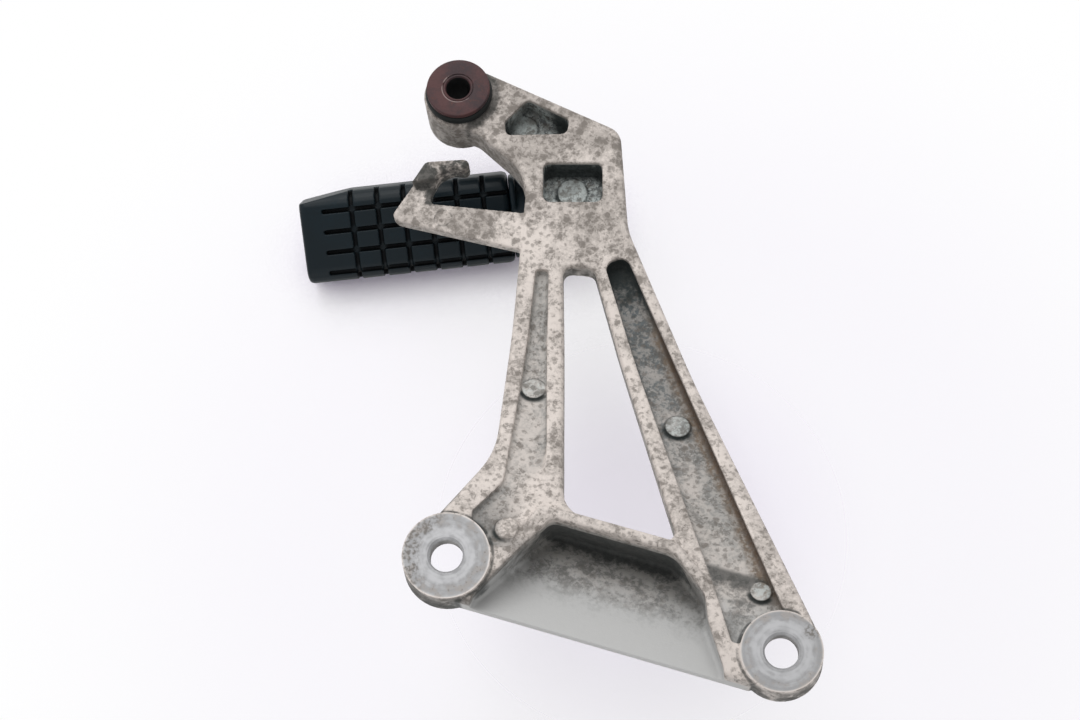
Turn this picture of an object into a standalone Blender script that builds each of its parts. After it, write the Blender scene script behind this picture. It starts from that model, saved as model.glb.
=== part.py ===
"""Motorcycle footrest hanger: an aluminium casting with a bushed silencer boss and a folding footpeg.

The origin is the centre of the rear frame boss's machined face. X runs along the two frame holes,
Y towards the silencer end and Z out of the mounting faces, towards the motorcycle's frame.
Metres throughout. The footpeg is modelled folded.
"""

import math

import bmesh
import bpy
import numpy as np
from mathutils import Matrix, Vector

# Frame bosses, which bolt to the motorcycle
FRAME_HOLE_SPACING = 0.108
REAR_BOSS_RADIUS = 0.0139
FRONT_BOSS_RADIUS = 0.0127
FRAME_HOLE_RADIUS = 0.00525
BOSS_DEPTH = 0.012
BOSS_PROUD = 0.0005
BOSS_FLARE = 0.0006
BOLT_SEAT_RADIUS = 0.0095
BOLT_SEAT_DEPTH = 0.0062

# Dog-leg: the face steps outboard between the frame bosses and the top plate
DOG_LEG_START = 0.010
DOG_LEG_DROP = 0.030
DOG_LEG_ANGLE = math.radians(21.0)
DOG_LEG_BLEND = 0.006

# Rails, the two legs of the triangle
RAIL_DEPTH = 0.0115
RAIL_TIP_DEPTH = 0.0088
CHANNEL_DEPTH = 0.0040
CHANNEL_TOP_DEPTH = 0.0056
REAR_CHANNEL_DEPTH = 0.0028
REAR_CHANNEL_FADE = (0.0500, 0.0320)
REAR_CHANNEL_SIDES = (0.0060, 0.0200)
PAD_HEIGHT = 0.0011
RIM_ROUNDING = 0.0009
FLOOR_ROUNDING = 0.0010

# Dished web between the frame bosses
WEB_EDGE_Y = -0.0126
WEB_THICKNESS = 0.0046
SKIRT_STEP = 0.0006
WEB_EDGE_FLOOR = -0.0072
WEB_INNER_FLOOR = -0.0215
WEB_TOP_Y = 0.0215
WEB_WALL = 0.0045
CROSS_RIB_WIDTH = 0.0042

# Top plate, its pockets and the silencer boss
TOP_DEPTH = 0.0140
TOP_STEP_START = 0.1180
TOP_STEP_END = 0.1240
POCKET_DEPTH = 0.0100
POCKET_PAD_RADIUS = 0.0053
SILENCER_X = -0.0532
SILENCER_Y = 0.1703
SILENCER_BOSS_RADIUS = 0.0127
SILENCER_BOSS_PROUD = 0.0004
SILENCER_BOSS_BACK = 0.0028
SILENCER_BORE_RADIUS = 0.0090

# Luggage hook
HOOK_FOOT_Y = 0.1190
NOTCH_FOOT_X = -0.0145
HOOK_RECESS = 0.0004
HOOK_DEPTH = 0.0048
HOOK_LIP_HEIGHT = 0.0042

# Silencer bush and collar
BUSH_FLANGE_RADIUS = 0.0120
BUSH_FLANGE_THICKNESS = 0.0030
BUSH_BACK_RADIUS = 0.0108
BUSH_BACK_THICKNESS = 0.0020
COLLAR_RADIUS = 0.0113
COLLAR_FLANGE_THICKNESS = 0.0020
COLLAR_TUBE_RADIUS = 0.0060
COLLAR_BORE_RADIUS = 0.0043

# Hinge of the footpeg
HINGE_X = -0.0090
HINGE_Y = 0.1513
HINGE_DROP = 0.0180
FOLDED_HEADING = math.radians(202.5)
PIN_RADIUS = 0.0040
PIN_HEAD_RADIUS = 0.0065
PIN_HEAD_THICKNESS = 0.0025
PIN_TAIL = 0.0050
EAR_RADIUS = 0.0100
EAR_THICKNESS = 0.0070
EYE_WIDTH = 0.0140
EYE_RADIUS = 0.0098
HEEL_LENGTH = HINGE_DROP - 0.0003
HEEL_HALF_HEIGHT = 0.0060
STOP_START = 0.0085
STOP_END = 0.0128

# Detent between the eye and one ear
BALL_RADIUS = 0.0020
BALL_OFFSET = 0.0072
DIMPLE_DEPTH = 0.0006
SPRING_WIRE_RADIUS = 0.00025
SPRING_TURNS = 6
DETENT_BORE_DEPTH = 0.0100

# Footpeg bar and rubber; distances along the peg are from the hinge axis
TREAD_TILT = math.radians(32.0)
NECK_HALF_HEIGHT = 0.0080
FLANGE_START = 0.0176
FLANGE_THICKNESS = 0.0022
FLANGE_WIDTH = 0.0300
FLANGE_HEIGHT = 0.0156
GUSSET_START = 0.0128
GUSSET_WIDTH = 0.0294
GUSSET_THICKNESS = 0.0070
TONGUE_WIDTH = 0.0200
TONGUE_THICKNESS = 0.0080
TONGUE_LENGTH = 0.0640
RUBBER_LENGTH = 0.0761
RUBBER_WIDTH = 0.0328
RUBBER_THICKNESS = 0.0190
RUBBER_CROWN = 0.0060
RUBBER_HEEL = 0.0045
TREAD_ROWS = 5
TREAD_COLUMNS = 7
TREAD_PITCH = 0.0096
TREAD_FIRST_CROSS = 0.0190
TREAD_LOW_BORDER = 0.0065
TREAD_HIGH_BORDER = 0.0038
TREAD_GROOVE_WIDTH = 0.0016
CROSS_GROOVE_DEPTH = 0.0025
LONG_GROOVE_DEPTH = 0.0027
STRIP_TOP = 0.0030
TREAD_TIP = 0.0082
TIP_TAPER_LENGTH = 0.0190
TIP_TAPER = 0.0030

# Screws that hold the rubber
SCREW_RADIUS = 0.0025
SCREW_HEAD_RADIUS = 0.0046
SCREW_HEAD_HEIGHT = 0.0026
SCREW_INSET = 0.0120
SCREW_SOCKET_RADIUS = 0.0020
SCREW_SOCKET_DEPTH = 0.0014
CUP_WASHER_RADIUS = 0.0056
CUP_WASHER_THICKNESS = 0.0010
TAP_TOP = 0.0030
WELL_FLOOR = -0.0056

# Hinge washer and split pin
WASHER_RADIUS = 0.0075
WASHER_THICKNESS = 0.0014
SPLIT_PIN_RADIUS = 0.00045
SPLIT_PIN_HOLE_RADIUS = 0.0011
EYE_LOOP_RADIUS = 0.0016

# Gap kept between pieces that touch, and how far a cutter reaches past what it cuts
GAP = 0.0003
REACH = 0.0100
ROUND_STEPS = 40

FACE_SLOPE = math.tan(DOG_LEG_ANGLE)
DOG_LEG_END = DOG_LEG_START + DOG_LEG_DROP / FACE_SLOPE
TOP_BACK = -DOG_LEG_DROP - TOP_DEPTH
HINGE_Z = TOP_BACK - HINGE_DROP
SILENCER_FACE = -DOG_LEG_DROP + SILENCER_BOSS_PROUD
SILENCER_BACK = TOP_BACK - SILENCER_BOSS_BACK
TREAD_FIRST_ROW = TREAD_LOW_BORDER - RUBBER_WIDTH / 2.0
TREAD_ROW_PITCH = (RUBBER_WIDTH - TREAD_LOW_BORDER - TREAD_HIGH_BORDER) / (TREAD_ROWS - 2)
BLEND_STEPS = (-1.0, -0.4, 0.4, 1.0)
BENDS = [DOG_LEG_START + DOG_LEG_BLEND * step for step in BLEND_STEPS]
BENDS += [DOG_LEG_END + DOG_LEG_BLEND * step for step in BLEND_STEPS]
BENDS += [TOP_STEP_START, TOP_STEP_END]
# Bends of what is cut, beside the body's own
CUT_BENDS = [bend + 0.0004 for bend in BENDS]


def ramp(distance):
    """Zero before 0 and equal to the distance after it, with a smooth blend between."""
    if abs(distance) >= DOG_LEG_BLEND:
        return max(distance, 0.0)
    return (distance + DOG_LEG_BLEND) ** 2 / (4.0 * DOG_LEG_BLEND)


def share(y):
    """How far up the dog-leg y is, from 0 to 1."""
    return (ramp(y - DOG_LEG_START) - ramp(y - DOG_LEG_END)) / (DOG_LEG_END - DOG_LEG_START)


def face(x, y):
    """Height of the casting's front face, under its bosses' faces, at a distance y from the frame holes."""
    return -BOSS_PROUD - (DOG_LEG_DROP - BOSS_PROUD) * share(y)


def back_of_body(x, y):
    """Height of the casting's outer surface: the rails taper, then the top plate is thicker."""
    rail = face(x, y) - RAIL_DEPTH - (RAIL_TIP_DEPTH - RAIL_DEPTH) * share(y)
    step = min(max((y - TOP_STEP_START) / (TOP_STEP_END - TOP_STEP_START), 0.0), 1.0)
    return rail + (TOP_BACK - rail) * step


def raised(rule, height):
    """A height rule moved up by a height."""
    return lambda x, y: rule(x, y) + height


def below_face(near, far=None):
    """A height rule: this far under the face, changing evenly from the frame end to the top plate."""
    last = near if far is None else far
    return lambda x, y: face(x, y) - near - (last - near) * share(y)


def rear_floor(x, y):
    """Floor of the rear rail's channel; towards the rear boss it rises across to the rail's inner side."""
    start, full = REAR_CHANNEL_FADE
    near, far = REAR_CHANNEL_SIDES
    fade = min(max((start - y) / (start - full), 0.0), 1.0)
    across = min(max((x - near) / (far - near), 0.0), 1.0)
    return face(x, y) - REAR_CHANNEL_DEPTH + (REAR_CHANNEL_DEPTH + GAP) * fade * across


def level(z):
    """A height rule for a plane across Z."""
    return lambda x, y: z


def web_floor(x, y):
    """Front surface of the dished web, sloping down from its free edge to the cross rib."""
    part = (y - WEB_EDGE_Y) / (WEB_TOP_Y - WEB_EDGE_Y)
    return WEB_EDGE_FLOOR + (WEB_INNER_FLOOR - WEB_EDGE_FLOOR) * part


def web_back(x, y):
    """Outer surface of the dished web, parallel to its floor."""
    return web_floor(x, y) - WEB_THICKNESS


def material(name, colour, roughness, metallic):
    """A plain Principled finish."""
    found = bpy.data.materials.new(name)
    found.use_nodes = True
    shader = found.node_tree.nodes["Principled BSDF"]
    shader.inputs["Base Color"].default_value = (*colour, 1.0)
    shader.inputs["Roughness"].default_value = roughness
    shader.inputs["Metallic"].default_value = metallic
    found.diffuse_color = (*colour, 1.0)
    return found


def collection(name, hidden=False):
    made = bpy.data.collections.new(name)
    bpy.context.scene.collection.children.link(made)
    made.hide_render = hidden
    return made


def add_mesh(name, mesh, group):
    made = bpy.data.objects.new(name, mesh)
    group.objects.link(made)
    return made


def mesh_from(bm, name):
    bmesh.ops.recalc_face_normals(bm, faces=bm.faces)
    mesh = bpy.data.meshes.new(name)
    bm.to_mesh(mesh)
    bm.free()
    return mesh


def rounded(*corners, steps=5):
    """A closed outline through corners (x, y, fillet radius), with an arc at each one that has a radius."""
    points = []
    for index, (x, y, radius) in enumerate(corners):
        here = Vector((x, y))
        before = Vector(corners[index - 1][:2]) - here
        after = Vector(corners[(index + 1) % len(corners)][:2]) - here
        if radius <= 0.0:
            points.append(tuple(here))
            continue
        half = before.angle(after) / 2.0
        reach = min(radius / math.tan(half), 0.49 * before.length, 0.49 * after.length)
        radius = reach * math.tan(half)
        centre = here + (before.normalized() + after.normalized()).normalized() * radius / math.sin(half)
        first = here + before.normalized() * reach - centre
        turn = first.angle_signed(here + after.normalized() * reach - centre)
        for step in range(steps + 1):
            arm = first.copy()
            arm.rotate(Matrix.Rotation(-turn * step / steps, 2))
            points.append(tuple(centre + arm))
    return points


def tangent_point(centre, radius, outside, side):
    """Where a line from an outside point touches a circle; side is 1 or -1."""
    towards = Vector(outside) - Vector(centre)
    spread = math.acos(radius / towards.length) * side
    heading = math.atan2(towards.y, towards.x) + spread
    return centre[0] + radius * math.cos(heading), centre[1] + radius * math.sin(heading)


def extruded(name, outlines, depth, rounding=0.0, resolution=0):
    """A mesh of a flat outline, with holes, from z = -depth / 2 to depth / 2 and its rims rounded."""
    curve = bpy.data.curves.new(name, "CURVE")
    curve.dimensions = "2D"
    curve.fill_mode = "BOTH"
    curve.extrude = depth / 2.0 - rounding
    curve.bevel_depth = rounding
    curve.offset = -rounding
    curve.bevel_resolution = resolution
    for outline in outlines:
        spline = curve.splines.new("POLY")
        spline.points.add(len(outline) - 1)
        spline.use_cyclic_u = True
        for point, (x, y) in zip(spline.points, outline):
            point.co = (x, y, 0.0, 1.0)
    holder = bpy.data.objects.new(name, curve)
    bpy.context.scene.collection.objects.link(holder)
    graph = bpy.context.evaluated_depsgraph_get()
    mesh = bpy.data.meshes.new_from_object(holder.evaluated_get(graph))
    bpy.data.objects.remove(holder)
    bpy.data.curves.remove(curve)
    bm = bmesh.new()
    bm.from_mesh(mesh)
    bpy.data.meshes.remove(mesh)
    bmesh.ops.remove_doubles(bm, verts=bm.verts, dist=0.000002)
    return bm


def layer(name, group, outlines, top, bottom, rounding=0.0, bends=()):
    """A slice of the casting: outlines in plan, between two height rules of x and y, bent along Y."""
    depth = 1.0
    bm = extruded(name, outlines, depth, rounding)
    for y in bends:
        everything = bm.verts[:] + bm.edges[:] + bm.faces[:]
        bmesh.ops.bisect_plane(bm, geom=everything, dist=1e-7, plane_co=(0, y, 0), plane_no=(0, 1, 0))
    for vert in bm.verts:
        if vert.co.z > 0.0:
            vert.co.z = top(vert.co.x, vert.co.y) - (depth / 2.0 - vert.co.z)
        else:
            vert.co.z = bottom(vert.co.x, vert.co.y) + (vert.co.z + depth / 2.0)
    return add_mesh(name, mesh_from(bm, name), group)


def cylinder(name, group, centre, radius, top, bottom, steps=ROUND_STEPS, tip_radius=None):
    """An upright cylinder or cone between two heights."""
    bm = bmesh.new()
    bmesh.ops.create_cone(
        bm,
        cap_ends=True,
        segments=steps,
        radius1=radius,
        radius2=radius if tip_radius is None else tip_radius,
        depth=top - bottom,
        matrix=Matrix.Translation((*centre, (top + bottom) / 2.0)),
    )
    return add_mesh(name, mesh_from(bm, name), group)


def box(name, group, low, high):
    """A box between two corners."""
    bm = bmesh.new()
    size = Vector(high) - Vector(low)
    middle = (Vector(high) + Vector(low)) / 2.0
    bmesh.ops.create_cube(bm, size=1.0, matrix=Matrix.Translation(middle) @ Matrix.Diagonal((*size, 1.0)))
    return add_mesh(name, mesh_from(bm, name), group)


def turned(name, group, profile, steps=ROUND_STEPS):
    """A turned piece about Z from (radius, z) points, listed down the outside and up the inside."""
    mesh = bpy.data.meshes.new(name)
    solid = profile[0][0] == 0.0
    edges = [(index, (index + 1) % len(profile)) for index in range(len(profile) - solid)]
    mesh.from_pydata([(radius, 0.0, z) for radius, z in profile], edges, [])
    made = add_mesh(name, mesh, group)
    screw = made.modifiers.new("turn", "SCREW")
    screw.steps = steps
    screw.render_steps = steps
    screw.use_merge_vertices = True
    screw.merge_threshold = 0.00001
    return made


def boolean(target, tool, operation):
    step = target.modifiers.new(tool.name, "BOOLEAN")
    step.operation = operation
    step.object = tool
    step.solver = "EXACT"


def arc(radius, start, end, steps):
    """Points of an arc about the origin, between two angles in radians."""
    return [(radius * math.cos(turn), radius * math.sin(turn)) for turn in np.linspace(start, end, steps + 1)]


def empty(name, group, parent=None):
    """A frame that pieces are placed in."""
    made = bpy.data.objects.new(name, None)
    made.empty_display_size = 0.01
    made.parent = parent
    group.objects.link(made)
    return made


def side_view(name, group, frame, outline, width, middle, rounding=0.0):
    """A piece drawn in the peg's side view, (along, up) from the hinge axis, and extruded along the pin."""
    bm = extruded(name, [outline], width, rounding)
    bm.transform(Matrix.Translation((0.0, middle, 0.0)) @ Matrix.Rotation(math.pi / 2.0, 4, "X"))
    made = add_mesh(name, mesh_from(bm, name), group)
    made.parent = frame
    return made


def end_view(name, group, frame, outline, start, end, rounding=0.0, resolution=0):
    """A piece drawn in the peg's end view, (across, up), and extruded along the peg."""
    bm = extruded(name, [outline], end - start, rounding, resolution)
    turn = Matrix(((0, 0, 1, (start + end) / 2.0), (1, 0, 0, 0), (0, 1, 0, 0), (0, 0, 0, 1)))
    bm.transform(turn)
    made = add_mesh(name, mesh_from(bm, name), group)
    made.parent = frame
    return made


def top_view(name, group, frame, outline, thickness, rounding=0.0):
    """A piece drawn in the peg's top view, (along, across), and extruded through its thickness."""
    made = add_mesh(name, mesh_from(extruded(name, [outline], thickness, rounding), name), group)
    made.parent = frame
    return made


def cross_cylinder(name, group, frame, radius, start, end, along=0.0, up=0.0, steps=ROUND_STEPS):
    """A cylinder along the pin's direction, between two distances along it."""
    bm = bmesh.new()
    turn = Matrix.Translation((along, (start + end) / 2.0, up)) @ Matrix.Rotation(math.pi / 2.0, 4, "X")
    bmesh.ops.create_cone(
        bm, cap_ends=True, segments=steps, radius1=radius, radius2=radius, depth=end - start, matrix=turn
    )
    made = add_mesh(name, mesh_from(bm, name), group)
    made.parent = frame
    return made


def set_look(piece, look):
    piece.data.materials.clear()
    piece.data.materials.append(look)


def shade(piece):
    if piece.type == "MESH":
        piece.data.shade_smooth()
        piece.data.set_sharp_from_angle(angle=math.radians(35.0))


def plan_of_body():
    """The rails and the top plate in plan, anticlockwise from the rear frame boss."""
    front = (FRAME_HOLE_SPACING, 0.0)
    silencer = (SILENCER_X, SILENCER_Y)
    rail_head = (0.0197, 0.1359)
    plate_corner = (0.0063, 0.1722)
    front_touch = tangent_point(front, FRONT_BOSS_RADIUS, rail_head, -1)
    silencer_touch = tangent_point(silencer, SILENCER_BOSS_RADIUS, plate_corner, 1)
    return rounded(
        (0.0, WEB_EDGE_Y + SKIRT_STEP, 0.0),
        (FRAME_HOLE_SPACING, WEB_EDGE_Y + SKIRT_STEP, 0.0),
        (*front_touch, 0.0),
        (*rail_head, 0.025),
        (*plate_corner, 0.007),
        (*silencer_touch, 0.0),
        (*silencer, 0.0),
        (SILENCER_X + 0.0040, SILENCER_Y - SILENCER_BOSS_RADIUS + 0.0012, 0.0),
        (SILENCER_X + 0.0105, SILENCER_Y - 0.0122, 0.006),
        (-0.0235, 0.1482, 0.012),
        (-0.0190, 0.1400, 0.006),
        (NOTCH_FOOT_X, HOOK_FOOT_Y, 0.0),
        (0.0026, 0.0400, 0.030),
        (-0.0080, 0.0090, 0.0),
    )


def plan_of_window():
    """The triangular window between the rails."""
    return rounded(
        (0.0018, 0.1165, 0.0028),
        (0.0122, 0.1188, 0.0035),
        (FRAME_HOLE_SPACING - 0.0397, WEB_TOP_Y + CROSS_RIB_WIDTH, 0.0028),
        (0.0303, WEB_TOP_Y + CROSS_RIB_WIDTH, 0.0100),
    )


def plan_of_channel():
    """The channel in the front rail, running under the front boss."""
    return rounded(
        (0.0152, 0.1215, 0.0036),
        (0.0217, 0.1265, 0.0036),
        (0.0521, 0.0878, 0.0600),
        (FRAME_HOLE_SPACING - 0.0016, 0.0115, 0.0),
        (FRAME_HOLE_SPACING - 0.0080, -0.0013, 0.0),
        (FRAME_HOLE_SPACING - 0.0155, -0.0013, 0.0),
    )


def plan_of_upper_pocket():
    """The three-cornered pocket beside the silencer boss."""
    return rounded(
        (-0.0293, 0.1755, 0.0022),
        (-0.0125, 0.1719, 0.0024),
        (-0.0117, 0.1661, 0.0024),
        (-0.0324, 0.1598, 0.0020),
        (-0.0345, 0.1647, 0.0022),
    )


def plan_of_lower_pocket():
    """The four-sided pocket in the top plate."""
    return rounded(
        (-0.0164, 0.1528, 0.0020),
        (0.0037, 0.1584, 0.0020),
        (0.0080, 0.1439, 0.0026),
        (-0.0121, 0.1383, 0.0026),
    )


def plan_of_rear_channel():
    """The shallow channel in the rear rail, widening towards the rear boss."""
    return rounded(
        (-0.0070, 0.1130, 0.0012),
        (-0.0026, 0.1140, 0.0012),
        (0.0050, 0.0870, 0.0),
        (0.0174, 0.0485, 0.020),
        (0.0225, 0.0280, 0.006),
        (0.0190, 0.0070, 0.0),
        (0.0060, 0.0070, 0.0),
        (0.0030, 0.0170, 0.0),
        (0.0088, 0.0300, 0.008),
        (0.0022, 0.0670, 0.030),
    )


def plan_of_web(margin, edge):
    """The dished web in plan, its sides moved out by a margin; edge is its open side."""
    top = WEB_TOP_Y + min(margin, CROSS_RIB_WIDTH - SKIRT_STEP)
    return rounded(
        (0.0118 - margin, WEB_EDGE_Y + 0.0030, 0.0),
        (0.0102 - margin, edge, 0.0),
        (FRAME_HOLE_SPACING - 0.0110 + margin, edge, 0.0),
        (FRAME_HOLE_SPACING - 0.0157 + margin, WEB_EDGE_Y + 0.0030, 0.0),
        (FRAME_HOLE_SPACING - 0.0240 + margin, 0.0030, 0.012),
        (FRAME_HOLE_SPACING - 0.0272 + margin, 0.0110 + 0.3 * margin, 0.009),
        (FRAME_HOLE_SPACING - 0.0400, top, 0.009),
        (0.0278 - margin, top, 0.0035),
    )


def plan_of_hook():
    """The luggage hook, from inside the top plate out along its arm, round the tip and back."""
    return rounded(
        (-0.0100, HOOK_FOOT_Y, 0.0),
        (-0.0586, HOOK_FOOT_Y - 0.0017, 0.0026),
        (-0.0618, 0.1190, 0.0022),
        (-0.0576, 0.1340, 0.0),
        (-0.0560, 0.1406, 0.0024),
        (-0.0427, 0.1453, 0.0020),
        (-0.0407, 0.1443, 0.0013),
        (-0.0412, 0.1417, 0.0012),
        (-0.0462, 0.1406, 0.0030),
        (-0.0499, 0.1370, 0.0040),
        (-0.0507, 0.1315, 0.0012),
        (-0.0502, 0.1270, 0.0014),
        (-0.0176, 0.1324, 0.0),
        (-0.0100, 0.1335, 0.0),
    )


def plan_of_hook_relief():
    """What is taken off the hook in front of its arm, leaving the lip at its tip."""
    return [
        (0.0, 0.1100),
        (-0.0680, 0.1100),
        (-0.0680, 0.1276),
        (-0.0495, 0.1354),
        (-0.0470, 0.1330),
        (0.0, 0.1400),
    ]


def make_casting(group, tools, hinge, look):
    """The hanger: one casting, machined at its bosses."""
    body = layer(
        "hanger_casting", group, [plan_of_body(), plan_of_window()], face, back_of_body, RIM_ROUNDING, BENDS
    )

    def cut(tool):
        boolean(body, tool, "DIFFERENCE")

    def join(tool):
        boolean(body, tool, "UNION")

    above = level(REACH)
    skirt_top = level(-BOSS_PROUD - 2.0 * SKIRT_STEP)
    join(layer("web_block", tools, [plan_of_web(WEB_WALL, WEB_EDGE_Y)], skirt_top, web_back, RIM_ROUNDING))
    cut(layer("web_pocket", tools, [plan_of_web(0.0, WEB_EDGE_Y - REACH)], above, web_floor, FLOOR_ROUNDING))
    channel_floor = below_face(CHANNEL_DEPTH, CHANNEL_TOP_DEPTH)
    cut(layer("front_channel", tools, [plan_of_channel()], above, channel_floor, FLOOR_ROUNDING, CUT_BENDS))
    cut(layer("rear_channel", tools, [plan_of_rear_channel()], above, rear_floor, FLOOR_ROUNDING, CUT_BENDS))
    join_ejector_pads(join, tools, channel_floor)

    pocket_floor = level(-DOG_LEG_DROP - POCKET_DEPTH)
    cut(layer("upper_pocket", tools, [plan_of_upper_pocket()], above, pocket_floor, FLOOR_ROUNDING))
    cut(layer("lower_pocket", tools, [plan_of_lower_pocket()], above, pocket_floor, FLOOR_ROUNDING))
    pad_top = -DOG_LEG_DROP - POCKET_DEPTH + PAD_HEIGHT
    join(cylinder("pocket_pad", tools, (-0.0029, 0.1440), POCKET_PAD_RADIUS, pad_top, pad_top - 0.002))

    join(make_hook(tools))
    join_bosses(join, cut, tools)
    join_clevis(join, cut, tools, hinge)
    weld = body.modifiers.new("tidy_edges", "WELD")
    weld.merge_threshold = 0.000004
    set_look(body, look)
    return body


def make_hook(tools):
    """The hook with its raised lip."""
    hook_face = -DOG_LEG_DROP - HOOK_RECESS
    hook_back = hook_face - HOOK_DEPTH
    lip_face = hook_face + HOOK_LIP_HEIGHT
    hook = layer("hook", tools, [plan_of_hook()], level(lip_face), level(hook_back), RIM_ROUNDING)
    relief = layer("hook_relief", tools, [plan_of_hook_relief()], level(0.0), level(hook_face))
    boolean(hook, relief, "DIFFERENCE")
    return hook


def join_ejector_pads(join, tools, front_floor):
    """Round pads that the die's ejector pins left on the channel floors."""
    steps = 24
    turns = [2.0 * math.pi * step / steps for step in range(steps)]
    pads = (
        ("pad_rear_high", (0.0062, 0.0688), 0.0040, rear_floor),
        ("pad_rear_low", (0.0154, 0.0143), 0.0038, rear_floor),
        ("pad_front_high", (FRAME_HOLE_SPACING - 0.0521, 0.0701), 0.0043, front_floor),
        ("pad_front_low", (FRAME_HOLE_SPACING - 0.0110, 0.0179), 0.0034, front_floor),
    )
    for name, (x, y), radius, floor in pads:
        disc = [(x + radius * math.cos(turn), y + radius * math.sin(turn)) for turn in turns]
        top = raised(floor, PAD_HEIGHT)
        join(layer(name, tools, [disc], top, raised(floor, -0.0015)))


def join_bosses(join, cut, tools):
    """Frame bosses with their bolt holes and seats, and the silencer boss with its bore."""
    for name, x, radius in (("rear", 0.0, REAR_BOSS_RADIUS), ("front", FRAME_HOLE_SPACING, FRONT_BOSS_RADIUS)):
        centre = (x, 0.0)
        join(cylinder(name + "_boss", tools, centre, radius + BOSS_FLARE, 0.0, -BOSS_DEPTH, 48, radius))
        cut(cylinder(name + "_hole", tools, centre, FRAME_HOLE_RADIUS, REACH, -BOSS_DEPTH - REACH))
        seat = BOLT_SEAT_DEPTH - BOSS_DEPTH
        cut(cylinder(name + "_seat", tools, centre, BOLT_SEAT_RADIUS, seat, -BOSS_DEPTH - REACH))
    silencer = (SILENCER_X, SILENCER_Y)
    join(cylinder("silencer_boss", tools, silencer, SILENCER_BOSS_RADIUS, SILENCER_FACE, SILENCER_BACK, 48))
    low = SILENCER_BACK - REACH
    cut(cylinder("silencer_bore", tools, silencer, SILENCER_BORE_RADIUS, SILENCER_FACE + REACH, low))


def join_clevis(join, cut, tools, hinge):
    """Two ears behind the top plate, the stop between them, the pin's bore and the detent dimples."""
    foot = HINGE_DROP + 0.002
    spread = EAR_RADIUS + 0.0045
    ear = [(spread, foot), (-spread, foot)] + arc(EAR_RADIUS, math.pi, 2.0 * math.pi, 18)
    middle = EYE_WIDTH / 2.0 + GAP + EAR_THICKNESS / 2.0
    for name, side in (("ear_upper", -1), ("ear_lower", 1)):
        join(side_view(name, tools, hinge, ear, EAR_THICKNESS, side * middle, RIM_ROUNDING))
    stop_face = NECK_HALF_HEIGHT + GAP
    stop = [(STOP_START, foot), (STOP_START, stop_face), (STOP_END, stop_face), (STOP_END + 0.0005, foot)]
    join(side_view("fold_stop", tools, hinge, stop, EYE_WIDTH + 0.002, 0.0))
    reach = middle + EAR_THICKNESS
    cut(cross_cylinder("ear_bore", tools, hinge, PIN_RADIUS + GAP, -reach, reach))
    ear_face = -EYE_WIDTH / 2.0 - GAP
    dimple = BALL_RADIUS * 0.8
    for name, along, up in (("dimple_folded", BALL_OFFSET, 0.0), ("dimple_open", 0.0, -BALL_OFFSET)):
        cut(cross_cylinder(name, tools, hinge, dimple, ear_face - DIMPLE_DEPTH, ear_face + 0.001, along, up, 16))


def make_bush(group, look):
    """Rubber grommet with a flange on each side of the silencer boss."""
    bore = COLLAR_TUBE_RADIUS + GAP
    body = SILENCER_BORE_RADIUS - GAP
    front = SILENCER_FACE + GAP
    back = SILENCER_BACK - GAP
    edge = 0.0006
    profile = [
        (BUSH_FLANGE_RADIUS - edge, front + BUSH_FLANGE_THICKNESS),
        (BUSH_FLANGE_RADIUS, front + BUSH_FLANGE_THICKNESS - edge),
        (BUSH_FLANGE_RADIUS, front),
        (body, front),
        (body, back),
        (BUSH_BACK_RADIUS, back),
        (BUSH_BACK_RADIUS, back - BUSH_BACK_THICKNESS + edge),
        (BUSH_BACK_RADIUS - edge, back - BUSH_BACK_THICKNESS),
        (bore, back - BUSH_BACK_THICKNESS),
        (bore, front + BUSH_FLANGE_THICKNESS),
    ]
    bush = turned("silencer_bush", group, profile)
    bush.location = (SILENCER_X, SILENCER_Y, 0.0)
    set_look(bush, look)


def make_collar(group, look):
    """Steel sleeve with one flange, through the bush."""
    seat = SILENCER_FACE + BUSH_FLANGE_THICKNESS + 2 * GAP
    head = seat + COLLAR_FLANGE_THICKNESS
    tail = SILENCER_BACK - BUSH_BACK_THICKNESS - 2 * GAP
    edge = 0.0004
    profile = [
        (COLLAR_BORE_RADIUS + edge, head),
        (COLLAR_RADIUS - edge, head),
        (COLLAR_RADIUS, head - edge),
        (COLLAR_RADIUS, seat),
        (COLLAR_TUBE_RADIUS, seat),
        (COLLAR_TUBE_RADIUS, tail),
        (COLLAR_BORE_RADIUS, tail),
        (COLLAR_BORE_RADIUS, head - edge),
    ]
    collar = turned("silencer_collar", group, profile)
    collar.location = (SILENCER_X, SILENCER_Y, 0.0)
    set_look(collar, look)


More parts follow.
